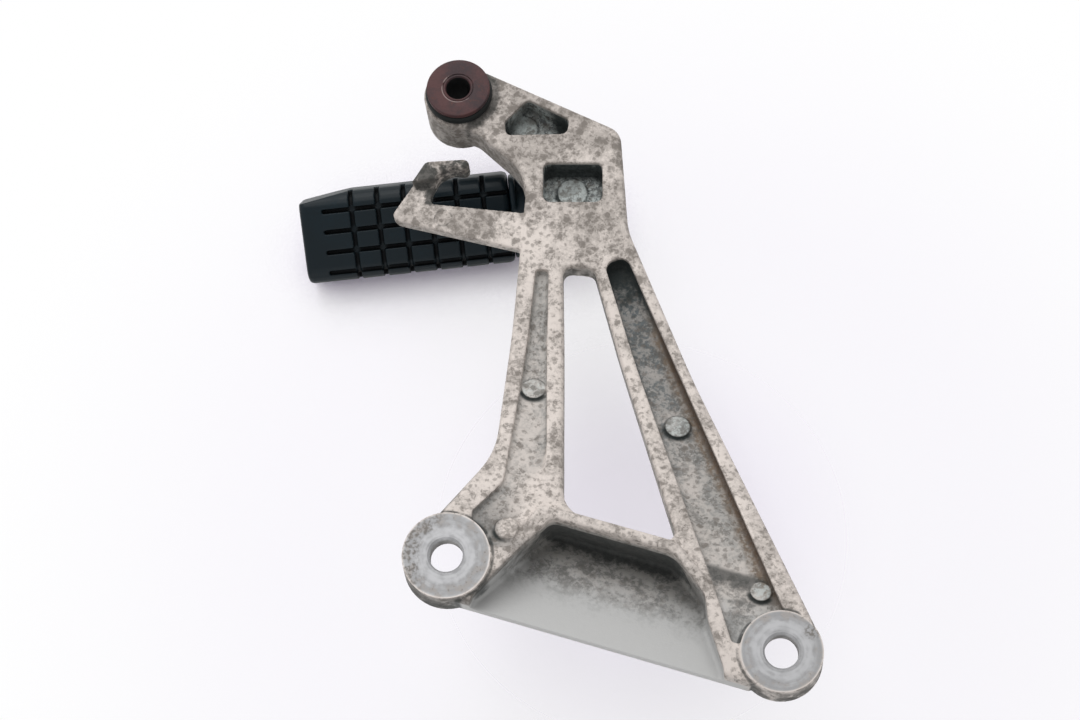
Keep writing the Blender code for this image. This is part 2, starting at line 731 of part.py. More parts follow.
def make_bar(group, tools, pivot, tread, look):
    """The footpeg's arm: eye, heel stop, neck, flange, and the tongue inside the rubber."""
    neck_end = FLANGE_START + FLANGE_THICKNESS / 2.0
    at_neck = math.asin(NECK_HALF_HEIGHT / EYE_RADIUS)
    at_heel = math.pi - math.asin(HEEL_HALF_HEIGHT / EYE_RADIUS)
    heel_top = math.asin(HEEL_HALF_HEIGHT / HEEL_LENGTH)
    profile = [(neck_end, -NECK_HALF_HEIGHT), (neck_end, NECK_HALF_HEIGHT)]
    profile += arc(EYE_RADIUS, at_neck, at_heel, 12)
    profile += arc(HEEL_LENGTH, math.pi - heel_top, math.pi, 3)
    profile += [(-HEEL_LENGTH, -HEEL_HALF_HEIGHT)]
    profile += arc(EYE_RADIUS, 2.0 * math.pi - at_heel, 2.0 * math.pi - at_neck, 12)
    bar = side_view("peg_bar", group, pivot, profile, EYE_WIDTH, 0.0, 0.0006)

    flange = oblong(FLANGE_WIDTH, FLANGE_HEIGHT, 0.004)
    flange_end = FLANGE_START + FLANGE_THICKNESS
    boolean(bar, end_view("flange", tools, tread, flange, FLANGE_START, flange_end, 0.0004), "UNION")
    gusset = [
        (neck_end, -GUSSET_WIDTH / 2.0),
        (neck_end, GUSSET_WIDTH / 2.0),
        (FLANGE_START, GUSSET_WIDTH / 2.0),
        (GUSSET_START, EYE_WIDTH / 2.0 - 0.0005),
        (GUSSET_START, -EYE_WIDTH / 2.0 + 0.0005),
        (FLANGE_START, -GUSSET_WIDTH / 2.0),
    ]
    boolean(bar, top_view("gusset", tools, tread, gusset, GUSSET_THICKNESS, 0.0005), "UNION")
    tongue = oblong(TONGUE_WIDTH, TONGUE_THICKNESS, 0.002)
    tongue_start = FLANGE_START + FLANGE_THICKNESS / 2.0
    tongue_end = flange_end + TONGUE_LENGTH
    boolean(bar, end_view("tongue", tools, tread, tongue, tongue_start, tongue_end, 0.0008), "UNION")

    half = EYE_WIDTH / 2.0
    bore = cross_cylinder("eye_bore", tools, pivot, PIN_RADIUS + GAP, -half - REACH, half + REACH)
    boolean(bar, bore, "DIFFERENCE")
    detent = (-half - REACH, -half + DETENT_BORE_DEPTH, BALL_OFFSET, 0.0, 20)
    boolean(bar, cross_cylinder("detent_bore", tools, pivot, BALL_RADIUS + 0.0002, *detent), "DIFFERENCE")
    for name, along in screw_places():
        hole = cylinder(name + "_tap", tools, (along, 0.0), SCREW_RADIUS + GAP, TAP_TOP, -TONGUE_THICKNESS, 24)
        hole.parent = tread
        boolean(bar, hole, "DIFFERENCE")
    set_look(bar, look)


def oblong(width, height, radius, steps=4):
    """A rectangle about the origin with round corners."""
    across = width / 2.0
    up = height / 2.0
    corners = ((-across, -up), (across, -up), (across, up), (-across, up))
    return rounded(*[(x, y, radius) for x, y in corners], steps=steps)


def screw_places():
    """Names and distances along the peg of the screws under the rubber."""
    start = FLANGE_START + FLANGE_THICKNESS
    return (("rubber_screw_inner", start + SCREW_INSET), ("rubber_screw_outer", start + TONGUE_LENGTH - SCREW_INSET))


def rubber_section(inset=0.0):
    """The rubber's cross-section, crowned towards its tread edges."""
    across = RUBBER_WIDTH / 2.0 - inset
    up = RUBBER_THICKNESS / 2.0 - inset
    crown = RUBBER_CROWN - inset
    heel = RUBBER_HEEL - inset
    return rounded(
        (-across, -up, heel),
        (across, -up, heel),
        (across, up, crown),
        (-across, up, crown),
    )


def make_rubber(group, tools, tread, look):
    """The footpeg's rubber sleeve, with its tread of blocks."""
    start = FLANGE_START + FLANGE_THICKNESS + GAP
    end = start + RUBBER_LENGTH
    rubber = end_view("peg_rubber", group, tread, rubber_section(), start, end, 0.0018, 1)

    def cut(tool):
        boolean(rubber, tool, "DIFFERENCE")

    socket = oblong(TONGUE_WIDTH + 2.0 * GAP, TONGUE_THICKNESS + 2.0 * GAP, 0.002)
    socket_end = FLANGE_START + FLANGE_THICKNESS + TONGUE_LENGTH + GAP
    cut(end_view("socket", tools, tread, socket, start - REACH, socket_end))

    across = RUBBER_WIDTH / 2.0
    up = RUBBER_THICKNESS / 2.0
    outer = across + REACH
    above = up + REACH
    edge = across - CROSS_GROOVE_DEPTH
    around = [(outer, 0.0), (outer, above), (-outer, above), (-outer, STRIP_TOP), (-edge, STRIP_TOP)]
    around += [point for point in reversed(rubber_section(CROSS_GROOVE_DEPTH)) if point[1] > STRIP_TOP]
    around += [(edge, 0.0)]
    for column in range(TREAD_COLUMNS):
        middle = end - TREAD_FIRST_CROSS - column * TREAD_PITCH
        if middle - TREAD_GROOVE_WIDTH < start:
            break
        low = middle - TREAD_GROOVE_WIDTH / 2.0
        cut(end_view(f"cross_groove_{column + 1}", tools, tread, around, low, low + TREAD_GROOVE_WIDTH))
    for row in range(TREAD_ROWS - 1):
        middle = TREAD_FIRST_ROW + row * TREAD_ROW_PITCH
        low = (start - REACH, middle - TREAD_GROOVE_WIDTH / 2.0, up - LONG_GROOVE_DEPTH)
        high = (end - TREAD_TIP, middle + TREAD_GROOVE_WIDTH / 2.0, above)
        groove = box(f"long_groove_{row + 1}", tools, low, high)
        groove.parent = tread
        cut(groove)

    taper = [
        (end - TIP_TAPER_LENGTH, -across),
        (end + GAP, -across + TIP_TAPER),
        (end + GAP, -outer),
        (end - TIP_TAPER_LENGTH, -outer),
    ]
    cut(top_view("tip_taper", tools, tread, taper, 2.0 * above))
    for name, along in screw_places():
        well = cylinder(name + "_well", tools, (along, 0.0), CUP_WASHER_RADIUS + GAP, WELL_FLOOR, -above, 28)
        hole = cylinder(name + "_hole", tools, (along, 0.0), SCREW_RADIUS + GAP, 0.0, -above, 24)
        for tool in (well, hole):
            tool.parent = tread
            cut(tool)
    set_look(rubber, look)


def make_rubber_screws(group, tools, tread, look):
    """Two socket screws that hold the rubber from below, each with its washer."""
    seat = WELL_FLOOR - GAP - CUP_WASHER_THICKNESS - GAP
    bottom = seat - SCREW_HEAD_HEIGHT
    edge = 0.0004
    for name, along in screw_places():
        profile = [
            (0.0, TAP_TOP - GAP),
            (SCREW_RADIUS - edge, TAP_TOP - GAP),
            (SCREW_RADIUS, TAP_TOP - GAP - edge),
            (SCREW_RADIUS, seat),
            (SCREW_HEAD_RADIUS, seat),
            (SCREW_HEAD_RADIUS, bottom + edge),
            (SCREW_HEAD_RADIUS - edge, bottom),
            (0.0, bottom),
        ]
        screw = turned(name, group, profile, 24)
        screw.location = (along, 0.0, 0.0)
        screw.parent = tread
        recess_top = bottom + SCREW_SOCKET_DEPTH
        recess = cylinder(name + "_socket", tools, (along, 0.0), SCREW_SOCKET_RADIUS, recess_top, bottom - REACH, 6)
        recess.parent = tread
        boolean(screw, recess, "DIFFERENCE")
        set_look(screw, look)
        ring = [
            (CUP_WASHER_RADIUS - edge / 2.0, seat + GAP + CUP_WASHER_THICKNESS),
            (CUP_WASHER_RADIUS, seat + GAP + CUP_WASHER_THICKNESS - edge / 2.0),
            (CUP_WASHER_RADIUS, seat + GAP),
            (SCREW_RADIUS + GAP, seat + GAP),
            (SCREW_RADIUS + GAP, seat + GAP + CUP_WASHER_THICKNESS),
        ]
        washer = turned(name.replace("screw", "washer"), group, ring, 24)
        washer.location = (along, 0.0, 0.0)
        washer.parent = tread
        set_look(washer, look)


def make_hinge_pin(group, tools, hinge, look):
    """Headed pin through the ears and the eye, its washer and the split pin through its tail."""
    ears = EYE_WIDTH / 2.0 + GAP + EAR_THICKNESS
    washer_start = ears + GAP
    washer_end = washer_start + WASHER_THICKNESS
    tail = washer_end + PIN_TAIL
    head = -ears - GAP
    edge = 0.0005
    profile = [
        (0.0, tail),
        (PIN_RADIUS - edge, tail),
        (PIN_RADIUS, tail - edge),
        (PIN_RADIUS, head),
        (PIN_HEAD_RADIUS, head),
        (PIN_HEAD_RADIUS, head - PIN_HEAD_THICKNESS + edge),
        (PIN_HEAD_RADIUS - edge, head - PIN_HEAD_THICKNESS),
        (0.0, head - PIN_HEAD_THICKNESS),
    ]
    pin = turned("hinge_pin", group, profile, 32)
    pin.parent = hinge
    pin.rotation_euler = (math.pi / 2.0, 0.0, 0.0)
    across = -(washer_end + GAP + SPLIT_PIN_HOLE_RADIUS + 0.0003)
    hole = cylinder("split_pin_hole", tools, (0.0, across), SPLIT_PIN_HOLE_RADIUS, REACH, -REACH, 16)
    hole.parent = hinge
    boolean(pin, hole, "DIFFERENCE")
    set_look(pin, look)

    ring = [
        (WASHER_RADIUS - edge / 2.0, washer_end),
        (WASHER_RADIUS, washer_end - edge / 2.0),
        (WASHER_RADIUS, washer_start),
        (PIN_RADIUS + GAP, washer_start),
        (PIN_RADIUS + GAP, washer_end),
    ]
    washer = turned("hinge_washer", group, ring, 32)
    washer.parent = hinge
    washer.rotation_euler = (math.pi / 2.0, 0.0, 0.0)
    set_look(washer, look)

    wire = SPLIT_PIN_RADIUS
    lane = wire + 0.00005
    clear = PIN_RADIUS + 2.0 * wire
    leg = [(lane + 0.0030, -clear - 0.0028), (lane + 0.0014, -clear - 0.0014), (lane, -clear), (lane, clear)]
    loop = arc(EYE_LOOP_RADIUS, -0.9, math.pi + 0.9, 8)
    path = [(x, z) for x, z in leg]
    path += [(x, z + clear + EYE_LOOP_RADIUS + wire) for x, z in loop]
    path += [(-x, z) for x, z in reversed(leg)]
    split = wire_curve("split_pin", group, [(x, across, z) for x, z in path], wire)
    split.parent = hinge
    set_look(split, look)


def wire_curve(name, group, points, radius):
    """A round wire through points, with closed ends."""
    curve = bpy.data.curves.new(name, "CURVE")
    curve.dimensions = "3D"
    curve.bevel_depth = radius
    curve.bevel_resolution = 2
    curve.use_fill_caps = True
    spline = curve.splines.new("POLY")
    spline.points.add(len(points) - 1)
    for point, place in zip(spline.points, points):
        point.co = (*place, 1.0)
    made = bpy.data.objects.new(name, curve)
    group.objects.link(made)
    return made


def make_detent(group, pivot, look):
    """The ball that clicks into the ear's dimples and the spring behind it."""
    ball_at = -EYE_WIDTH / 2.0 - GAP / 2.0 + BALL_RADIUS
    bm = bmesh.new()
    bmesh.ops.create_uvsphere(bm, u_segments=20, v_segments=12, radius=BALL_RADIUS)
    ball = add_mesh("detent_ball", mesh_from(bm, "detent_ball"), group)
    ball.location = (BALL_OFFSET, ball_at, 0.0)
    ball.parent = pivot
    set_look(ball, look)

    first = ball_at + BALL_RADIUS + SPRING_WIRE_RADIUS
    last = -EYE_WIDTH / 2.0 + DETENT_BORE_DEPTH - GAP - SPRING_WIRE_RADIUS
    radius = BALL_RADIUS - 2.0 * SPRING_WIRE_RADIUS
    count = SPRING_TURNS * 12
    points = []
    for step in range(count + 1):
        turn = 2.0 * math.pi * SPRING_TURNS * step / count
        across = first + (last - first) * step / count
        points.append((BALL_OFFSET + radius * math.cos(turn), across, radius * math.sin(turn)))
    spring = wire_curve("detent_spring", group, points, SPRING_WIRE_RADIUS)
    spring.data.bevel_resolution = 1
    spring.parent = pivot
    set_look(spring, look)


def main():
    for found in list(bpy.data.objects):
        bpy.data.objects.remove(found)
    bpy.context.scene.unit_settings.system = "METRIC"
    pieces = collection("footrest_hanger")
    tools = collection("cutters", hidden=True)

    hinge = empty("hinge_axis", pieces)
    hinge.location = (HINGE_X, HINGE_Y, HINGE_Z)
    hinge.rotation_euler = (0.0, 0.0, FOLDED_HEADING)
    pivot = empty("footpeg_pivot", pieces, hinge)
    tread = empty("tread_frame", pieces, pivot)
    tread.rotation_euler = (-TREAD_TILT, 0.0, 0.0)

    cast = material("cast_aluminium", (0.58, 0.54, 0.49), 0.62, 0.35)
    rust = material("rusted_steel", (0.09, 0.055, 0.05), 0.7, 0.3)
    bush_rubber = material("bush_rubber", (0.015, 0.015, 0.016), 0.75, 0.0)
    tread_rubber = material("tread_rubber", (0.012, 0.013, 0.016), 0.55, 0.0)
    black_steel = material("black_steel", (0.02, 0.02, 0.022), 0.5, 0.2)
    zinc = material("zinc_plated_steel", (0.45, 0.44, 0.42), 0.4, 0.9)

    make_casting(pieces, tools, hinge, cast)
    make_bush(pieces, bush_rubber)
    make_collar(pieces, rust)
    make_hinge_pin(pieces, tools, hinge, zinc)
    make_bar(pieces, tools, pivot, tread, black_steel)
    make_rubber(pieces, tools, tread, tread_rubber)
    make_rubber_screws(pieces, tools, tread, zinc)
    make_detent(pieces, pivot, zinc)
    for tool in tools.objects:
        tool.hide_render = True
        tool.display_type = "WIRE"
    for piece in pieces.objects:
        shade(piece)


main()
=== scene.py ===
"""Looks of a motorcycle footrest hanger: a weathered casting with its bush, collar and folded footpeg.

Each operator dresses one piece, or a group of like pieces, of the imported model, and the last one makes
the stage. Metres throughout, in the model's own frame: Z out of the mounting faces.
"""

import math

import bmesh
import bpy
import numpy as np
from bpy.props import FloatProperty, FloatVectorProperty, IntProperty, PointerProperty
from bpy.types import Operator, Panel, PropertyGroup
from mathutils import Matrix, Vector
from mathutils.bvhtree import BVHTree


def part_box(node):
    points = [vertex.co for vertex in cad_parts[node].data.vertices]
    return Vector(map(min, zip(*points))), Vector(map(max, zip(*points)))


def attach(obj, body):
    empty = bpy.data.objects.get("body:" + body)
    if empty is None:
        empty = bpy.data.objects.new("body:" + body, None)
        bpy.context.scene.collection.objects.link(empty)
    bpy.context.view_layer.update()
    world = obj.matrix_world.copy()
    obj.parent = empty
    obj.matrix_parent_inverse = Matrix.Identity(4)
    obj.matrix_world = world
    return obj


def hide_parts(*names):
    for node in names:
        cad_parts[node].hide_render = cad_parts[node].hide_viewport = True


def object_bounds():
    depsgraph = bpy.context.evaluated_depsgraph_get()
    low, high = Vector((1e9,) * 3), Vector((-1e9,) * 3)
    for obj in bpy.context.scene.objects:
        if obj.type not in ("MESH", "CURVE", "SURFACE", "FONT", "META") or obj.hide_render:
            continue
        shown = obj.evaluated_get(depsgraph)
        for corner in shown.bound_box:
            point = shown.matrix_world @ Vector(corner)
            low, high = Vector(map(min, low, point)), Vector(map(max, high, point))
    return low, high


bl_info = {
    "name": "Footrest Hanger Looks",
    "version": (1, 0, 0),
    "blender": (4, 5, 0),
    "location": "3D View > Sidebar > Footrest",
    "description": "Dresses a footrest hanger in weathered finishes and lights it",
    "category": "Object",
}

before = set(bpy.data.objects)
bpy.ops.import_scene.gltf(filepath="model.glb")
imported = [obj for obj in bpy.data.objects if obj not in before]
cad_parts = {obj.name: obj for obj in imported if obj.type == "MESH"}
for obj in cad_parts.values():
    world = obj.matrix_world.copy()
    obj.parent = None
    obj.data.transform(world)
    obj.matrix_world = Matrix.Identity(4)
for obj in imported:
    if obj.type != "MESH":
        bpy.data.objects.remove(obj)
CAD_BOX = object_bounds()
BUSH = sum(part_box("silencer_collar"), Vector()) / 2.0
HANGER = "hanger"
FOOTPEG = "footpeg"

# Places on the casting, in plan, and radii there
REAR_BOSS = Vector((0.0, 0.0, 0.0))
FRONT_BOSS = Vector((0.108, 0.0, 0.0))
REAR_RADIUS = 0.0139
FRONT_RADIUS = 0.0127
CHANNEL_TOP = Vector((0.0187, 0.1250, 0.0))
STAIN_TOP = Vector((0.0521, 0.0878, 0.0))
STAIN_FOOT = Vector((0.1064, 0.0115, 0.0))
CROSS_RIB_Y = 0.0215
POCKETS_Y = 0.1345
FRONT_STAIN = (0.1152, 0.0085)
HOOK_RING = (-0.0440, 0.1229)
HOOK_RING_RADIUS = 0.0030
# Middle of the pale crust in the upper pocket
CRUST = (-0.0250, 0.1690)

# Dark smears on the hook: centre, edge, core and strength
HOOK_SMEARS = (
    ((-0.0545, 0.1352), 0.0075, 0.0020, 1.0),
    ((-0.0500, 0.1305), 0.0065, 0.0020, 0.9),
    ((-0.0450, 0.1400), 0.0100, 0.0030, 0.6),
)

# The face steps down between these distances from the frame holes
DOG_LEG_START = 0.0100
DOG_LEG_END = 0.0882
DOG_LEG_DROP = 0.0300

# Ejector pads in the channels and the pockets: x, y and radius
PADS = (
    (0.0062, 0.0688, 0.0040),
    (0.0154, 0.0143, 0.0038),
    (0.0559, 0.0701, 0.0043),
    (0.0970, 0.0179, 0.0034),
    (-0.0045, 0.1481, 0.0053),
    (-0.0291, 0.1679, 0.0053),
)
# Plugs that shape the floors of the pockets: x, y, radius, top and foot
POCKET_PLUGS = (
    (-0.0042, 0.1486, 0.0120, -0.0389, -0.0415),
    (-0.0045, 0.1481, 0.0053, -0.0384, -0.0405),
    (-0.0291, 0.1679, 0.0053, -0.0394, -0.0410),
)

# Radius of the joint between the collar's tube and its flange
COLLAR_JOINT = 0.0054

# Marks on a mesh's vertices: how far their outlook is blocked from close by, further off and above
CLOSE_SHELTER = "close_shelter"
WIDE_SHELTER = "wide_shelter"
# The last mark feeds painted shade, with dirt, where light from steeply above +Y can't reach
LEE_DIRT_AND_SHADE = "lee"

# The rays behind those marks: their start off the surface, and the last mark's direction, focus and count
RAY_LIFT = 0.0001
LEE_TOWARDS = Vector((0.0, 0.30, 0.954))
LEE_FOCUS = 2.4
LEE_RAYS = 6

# Points closer than this are one
TOUCHING = 0.000001


class Field:
    """A number, vector or colour inside a node tree, on which Python arithmetic adds Math nodes."""

    def __init__(self, paint, socket):
        self.paint = paint
        self.socket = socket

    def maths(self, operation, *values):
        return self.paint.node("ShaderNodeMath", {"operation": operation}, dict(enumerate(values)))

    def __add__(self, other):
        return self.maths("ADD", self, other)

    __radd__ = __add__

    def __sub__(self, other):
        return self.maths("SUBTRACT", self, other)

    def __rsub__(self, other):
        return self.maths("SUBTRACT", other, self)

    def __mul__(self, other):
        return self.maths("MULTIPLY", self, other)

    __rmul__ = __mul__

    def __truediv__(self, other):
        return self.maths("DIVIDE", self, other)

    def __rtruediv__(self, other):
        return self.maths("DIVIDE", other, self)

    def __abs__(self):
        return self.maths("ABSOLUTE", self)

    def most(self, other):
        return self.maths("MAXIMUM", self, other)

    def least(self, other):
        return self.maths("MINIMUM", self, other)

    def rise(self, low, high, shape="SMOOTHSTEP"):
        """0 at low, 1 at high and even between; low may be the larger."""
        values = {"Value": self, "From Min": low, "From Max": high}
        return self.paint.node("ShaderNodeMapRange", {"interpolation_type": shape}, values)


class Paint:
    """The nodes of one material, or of the world, all added by the same method."""

    def __init__(self, owner):
        owner.use_nodes = True
        self.owner = owner
        self.nodes = owner.node_tree.nodes
        self.links = owner.node_tree.links

    def node(self, kind, settings=None, values=None, output=0):
        """Adds a node: its settings first, then a value or a link for each socket named."""
        made = self.nodes.new(kind)
        for key, value in (settings or {}).items():
            setattr(made, key, value)
        for key, value in (values or {}).items():
            self.fill(made.inputs[key], value)
        return Field(self, made.outputs[output])

    def fill(self, socket, value):
        """Links a field to a socket, or sets a plain value on it."""
        if isinstance(value, Field):
            self.links.new(value.socket, socket)
        else:
            socket.default_value = value

    def finish(self, **sockets):
        """Fills the shader's own sockets, named with underscores for spaces."""
        shader = self.nodes["Principled BSDF"]
        for key, value in sockets.items():
            self.fill(shader.inputs[key.replace("_", " ")], value)
        return self.owner

    def seen(self):
        """1 for what the camera, a reflection or a view through glass meets, and 0 for light."""
        rays = ("Is Camera Ray", "Is Glossy Ray", "Is Transmission Ray")
        camera, glossy, through = (self.node("ShaderNodeLightPath", output=ray) for ray in rays)
        return camera.most(glossy).most(through)

    def place(self):
        """Where a point is on its own piece, in metres."""
        return self.node("ShaderNodeTexCoord", output="Object")

    def split(self, vector):
        """The x, y and z of a vector."""
        first = self.node("ShaderNodeSeparateXYZ", values={0: vector})
        return [Field(self, socket) for socket in first.socket.node.outputs]

    def joined(self, x, y, z):
        """A vector of three numbers."""
        return self.node("ShaderNodeCombineXYZ", values={0: x, 1: y, 2: z})

    def attribute(self, name):
        """What a mesh's vertices are marked with."""
        return self.node("ShaderNodeAttribute", {"attribute_name": name}, output="Fac")

    def vector(self, operation, a, b, output=0):
        return self.node("ShaderNodeVectorMath", {"operation": operation}, {0: a, 1: b}, output)

    def away(self, plan, centre):
        """Distance in plan from a centre."""
        return self.vector("DISTANCE", plan, (centre[0], centre[1], 0.0), "Value")

    def noise(self, place, size, detail=3.0, rough=0.55):
        """Cloudy noise, about 0.5, whose features are about this size, in metres."""
        values = {"Vector": place, "Scale": 1.0 / size, "Detail": detail, "Roughness": rough}
        return self.node("ShaderNodeTexNoise", values=values)

    def mixed(self, factor, first, second):
        """A colour between two, by a factor."""
        settings = {"data_type": "RGBA", "clamp_factor": True}
        first, second = (value if isinstance(value, Field) else (*value, 1.0) for value in (first, second))
        return self.node("ShaderNodeMix", settings, {0: factor, 6: first, 7: second}, 2)

    def spots(self, place, size):
        """Distance to the nearest of points scattered at about this spacing, as a share of it."""
        return self.node("ShaderNodeTexVoronoi", values={"Vector": place, "Scale": 1.0 / size})

    def warped(self, place, size, reach):
        """The place, pushed about by up to this reach over this size."""
        values = {"Vector": place, "Scale": 1.0 / size, "Detail": 2.0}
        push = self.node("ShaderNodeTexNoise", values=values, output="Color")
        push = self.vector("SUBTRACT", push, (0.5, 0.5, 0.5))
        return self.vector("ADD", place, self.vector("MULTIPLY", push, (reach, reach, reach)))

    def relief(self, height, depth):
        """Bumps of this depth, in metres, where the height goes from 0 to 1."""
        values = {"Strength": 1.0, "Distance": depth, "Height": height}
        return self.node("ShaderNodeBump", values=values)


def colour(name, description, value):
    return FloatVectorProperty(
        name=name, description=description, default=value, subtype="COLOR", size=3, min=0.0, max=1.0
    )


def length(name, description, value, least=0.0):
    return FloatProperty(name=name, description=description, default=value, min=least, unit="LENGTH")


def power(name, description, value):
    return FloatProperty(name=name, description=description, default=value, min=0.0, unit="POWER")


class CastingLooks(PropertyGroup):
    """The aluminium casting."""

    grain: length("Mesh grain", "Spacing of the mesh before its flat parts are thinned", 0.00042, 0.0003)
    softening: IntProperty(
        name="Edge softening", description="Smoothing passes that round the cast edges", default=3, min=0
    )
    patch_size: length("Patch size", "Size of the patches of corrosion", 0.0056, 0.0005)
    crumb_size: length("Crumb size", "Size of the dark crumbs in a patch", 0.0015, 0.0002)
    skin: colour("Skin", "Weathered casting skin", (0.700, 0.635, 0.590))
    skin_dull: colour("Dull skin", "Duller patches of the skin", (0.42, 0.38, 0.35))
    cool: colour("Sheltered skin", "Greyer skin in the channels", (0.40, 0.385, 0.365))
    dusk: colour("Dark skin", "Skin at a channel's top and by the rear boss", (0.135, 0.135, 0.132))
    slate: colour("Slate patches", "Blue-grey patches in the channels", (0.115, 0.130, 0.135))
    web: colour("Web floor", "Clean floor of the dished web", (0.50, 0.50, 0.495))
    crust: colour("Crust", "Pale crust on the pocket floors", (0.50, 0.54, 0.53))
    corrosion: colour("Corrosion", "Corrosion crumbs", (0.125, 0.108, 0.092))
    # Dark colour for road dirt and for painted shade in corners and under walls
    grime_and_shade: colour("Grime", "Road dirt in the corners", (0.013, 0.019, 0.019))
    stain: colour("Stain", "Brown stain along the front rib", (0.185, 0.140, 0.102))
    rust_line: colour("Rust line", "Darker line at the foot of that rib", (0.080, 0.048, 0.030))
    machined: colour("Machined face", "Machined boss faces", (0.44, 0.44, 0.45))
    machined_dull: colour("Dull machined face", "Duller parts of the machined faces", (0.29, 0.29, 0.295))


class SteelLooks(PropertyGroup):
    """The steel pieces."""

    rust: colour("Rust", "Even dark rust of the collar", (0.080, 0.034, 0.034))
    rust_dark: colour("Dark rust", "Darker parts of the collar", (0.040, 0.024, 0.027))
    rust_bright: colour("Bright rust", "Fresh rust at the collar's rim", (0.135, 0.044, 0.030))
    bare: colour("Bare steel", "Pale arc round the collar's joint", (0.32, 0.24, 0.23))
    grease: colour("Grease", "Old grease in the collar's bore", (0.0022, 0.0028, 0.0034))
    grease_dust: colour("Dusty grease", "Dust on that grease", (0.0070, 0.0065, 0.0065))
    black: colour("Black", "Black coat of the peg's arm", (0.004, 0.011, 0.016))
    zinc: colour("Zinc", "Zinc plating of pins and screws", (0.52, 0.50, 0.46))


class RubberLooks(PropertyGroup):
    """The rubber pieces."""

    grain: length("Mesh grain", "Spacing of the tread rubber's mesh", 0.00036, 0.0003)
    tread: colour("Tread", "Rubber of the footpeg", (0.0024, 0.0075, 0.0110))
    # Colour of the painted shade in the tread's grooves
    groove: colour("Groove", "Dirt in the tread's grooves", (0.0012, 0.0015, 0.0020))
    bush: colour("Bush", "Rubber of the silencer bush", (0.010, 0.012, 0.012))


class StageLooks(PropertyGroup):
    """The floor, the lights and the camera."""

    floor: colour("Floor", "Pale floor, as it is seen", (0.88, 0.80, 1.0))
    bounce: colour("Floor's bounce", "Pale floor, as it lights the piece", (0.88, 0.87, 0.88))
    ambient: FloatProperty(name="Ambient", description="Even light from all round", default=0.45, min=0.0)
    key: power("Key light", "Softbox beyond the silencer end", 8.2)
    fill: power("Fill light", "Softbox at the left", 1.2)
    near: power("Near light", "Softbox beyond the frame bosses", 1.8)
    lens: FloatProperty(
        name="Lens", description="Focal length on a 36 mm sensor", default=66.667, min=1.0, unit="CAMERA"
    )


def linked(name, mesh):
    """A new object in the scene."""
    made = bpy.data.objects.new(name, mesh)
    bpy.context.scene.collection.objects.link(made)
    return made


def settle(piece):
    """Makes permanent what the piece's modifiers do."""
    graph = bpy.context.evaluated_depsgraph_get()
    made = bpy.data.meshes.new_from_object(piece.evaluated_get(graph))
    piece.modifiers.clear()
    piece.data = made


def smooth(piece, angle=35.0):
    """Shades a piece smooth, apart from edges sharper than this many degrees."""
    piece.data.shade_smooth()
    piece.data.set_sharp_from_angle(angle=math.radians(angle))


def dress(piece, body, node, slot, *finishes):
    """Gives a piece its finishes and its body, and hides the node it stands for."""
    piece.data.materials.clear()
    for finish in finishes:
        piece.data.materials.append(finish)
    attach(piece, body)
    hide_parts(node)


def add_turned(bm, profile, place, steps=96, ring=False):
    """Adds a turned solid: (radius, height) points from axis to axis, or round a ring's section."""
    rings = []
    for radius, height in profile:
        count = 1 if radius == 0.0 else steps
        turns = [2.0 * math.pi * step / count for step in range(count)]
        points = [(radius * math.cos(turn), radius * math.sin(turn), height) for turn in turns]
        rings.append([bm.verts.new(place @ Vector(point)) for point in points])
    if ring:
        rings.append(rings[0])
    for low, high in zip(rings, rings[1:]):
        for step in range(steps):
            after = step + 1
            corners = [low[step % len(low)], low[after % len(low)]]
            corners += [high[after % len(high)], high[step % len(high)]]
            bm.faces.new(list(dict.fromkeys(corners)))


def rounded(corners, steps=4):
    """Profile points through corners (radius, height, fillet), with an arc at each fillet."""
    points = []
    for index, (x, y, fillet) in enumerate(corners):
        here = Vector((x, y))
        before = Vector(corners[index - 1][:2]) - here
        after = Vector(corners[(index + 1) % len(corners)][:2]) - here
        if fillet <= 0.0:
            points.append(tuple(here))
            continue
        half = before.angle(after) / 2.0
        reach = fillet / math.tan(half)
        centre = here + (before.normalized() + after.normalized()).normalized() * fillet / math.sin(half)
        first = here + before.normalized() * reach - centre
        turn = first.angle_signed(here + after.normalized() * reach - centre)
        for step in range(steps + 1):
            arm = first.copy()
            arm.rotate(Matrix.Rotation(-turn * step / steps, 2))
            points.append(tuple(centre + arm))
    return points


def mesh_from(bm, name):
    """Ends the making of a mesh, with its faces turned outwards."""
    bmesh.ops.recalc_face_normals(bm, faces=bm.faces)
    mesh = bpy.data.meshes.new(name)
    bm.to_mesh(mesh)
    bm.free()
    return mesh


def turned_ring(name, section, place):
    """A new turned ring, from its section's corners (radius, height, fillet)."""
    bm = bmesh.new()
    add_turned(bm, rounded(section), place, ring=True)
    piece = linked(name, mesh_from(bm, name))
    smooth(piece)
    return piece


def skin_of(node, name, grain, passes, most, plugs=()):
    """A soft-edged copy of a solid's surface, with at most so many triangles. Plugs fill it out first."""
    bm = bmesh.new()
    bm.from_mesh(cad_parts[node].data)
    bmesh.ops.remove_doubles(bm, verts=bm.verts, dist=TOUCHING)
    for profile, place in plugs:
        add_turned(bm, profile, place, steps=64)
    piece = linked(name, mesh_from(bm, name))
    even = piece.modifiers.new("even_grain", "REMESH")
    even.mode = "VOXEL"
    even.voxel_size = grain
    soft = piece.modifiers.new("soft_edges", "SMOOTH")
    soft.factor = 0.5
    soft.iterations = passes
    settle(piece)
    fewer = piece.modifiers.new("thinned_flats", "DECIMATE")
    fewer.ratio = min(1.0, most / (2.0 * len(piece.data.polygons)))
    settle(piece)
    return piece


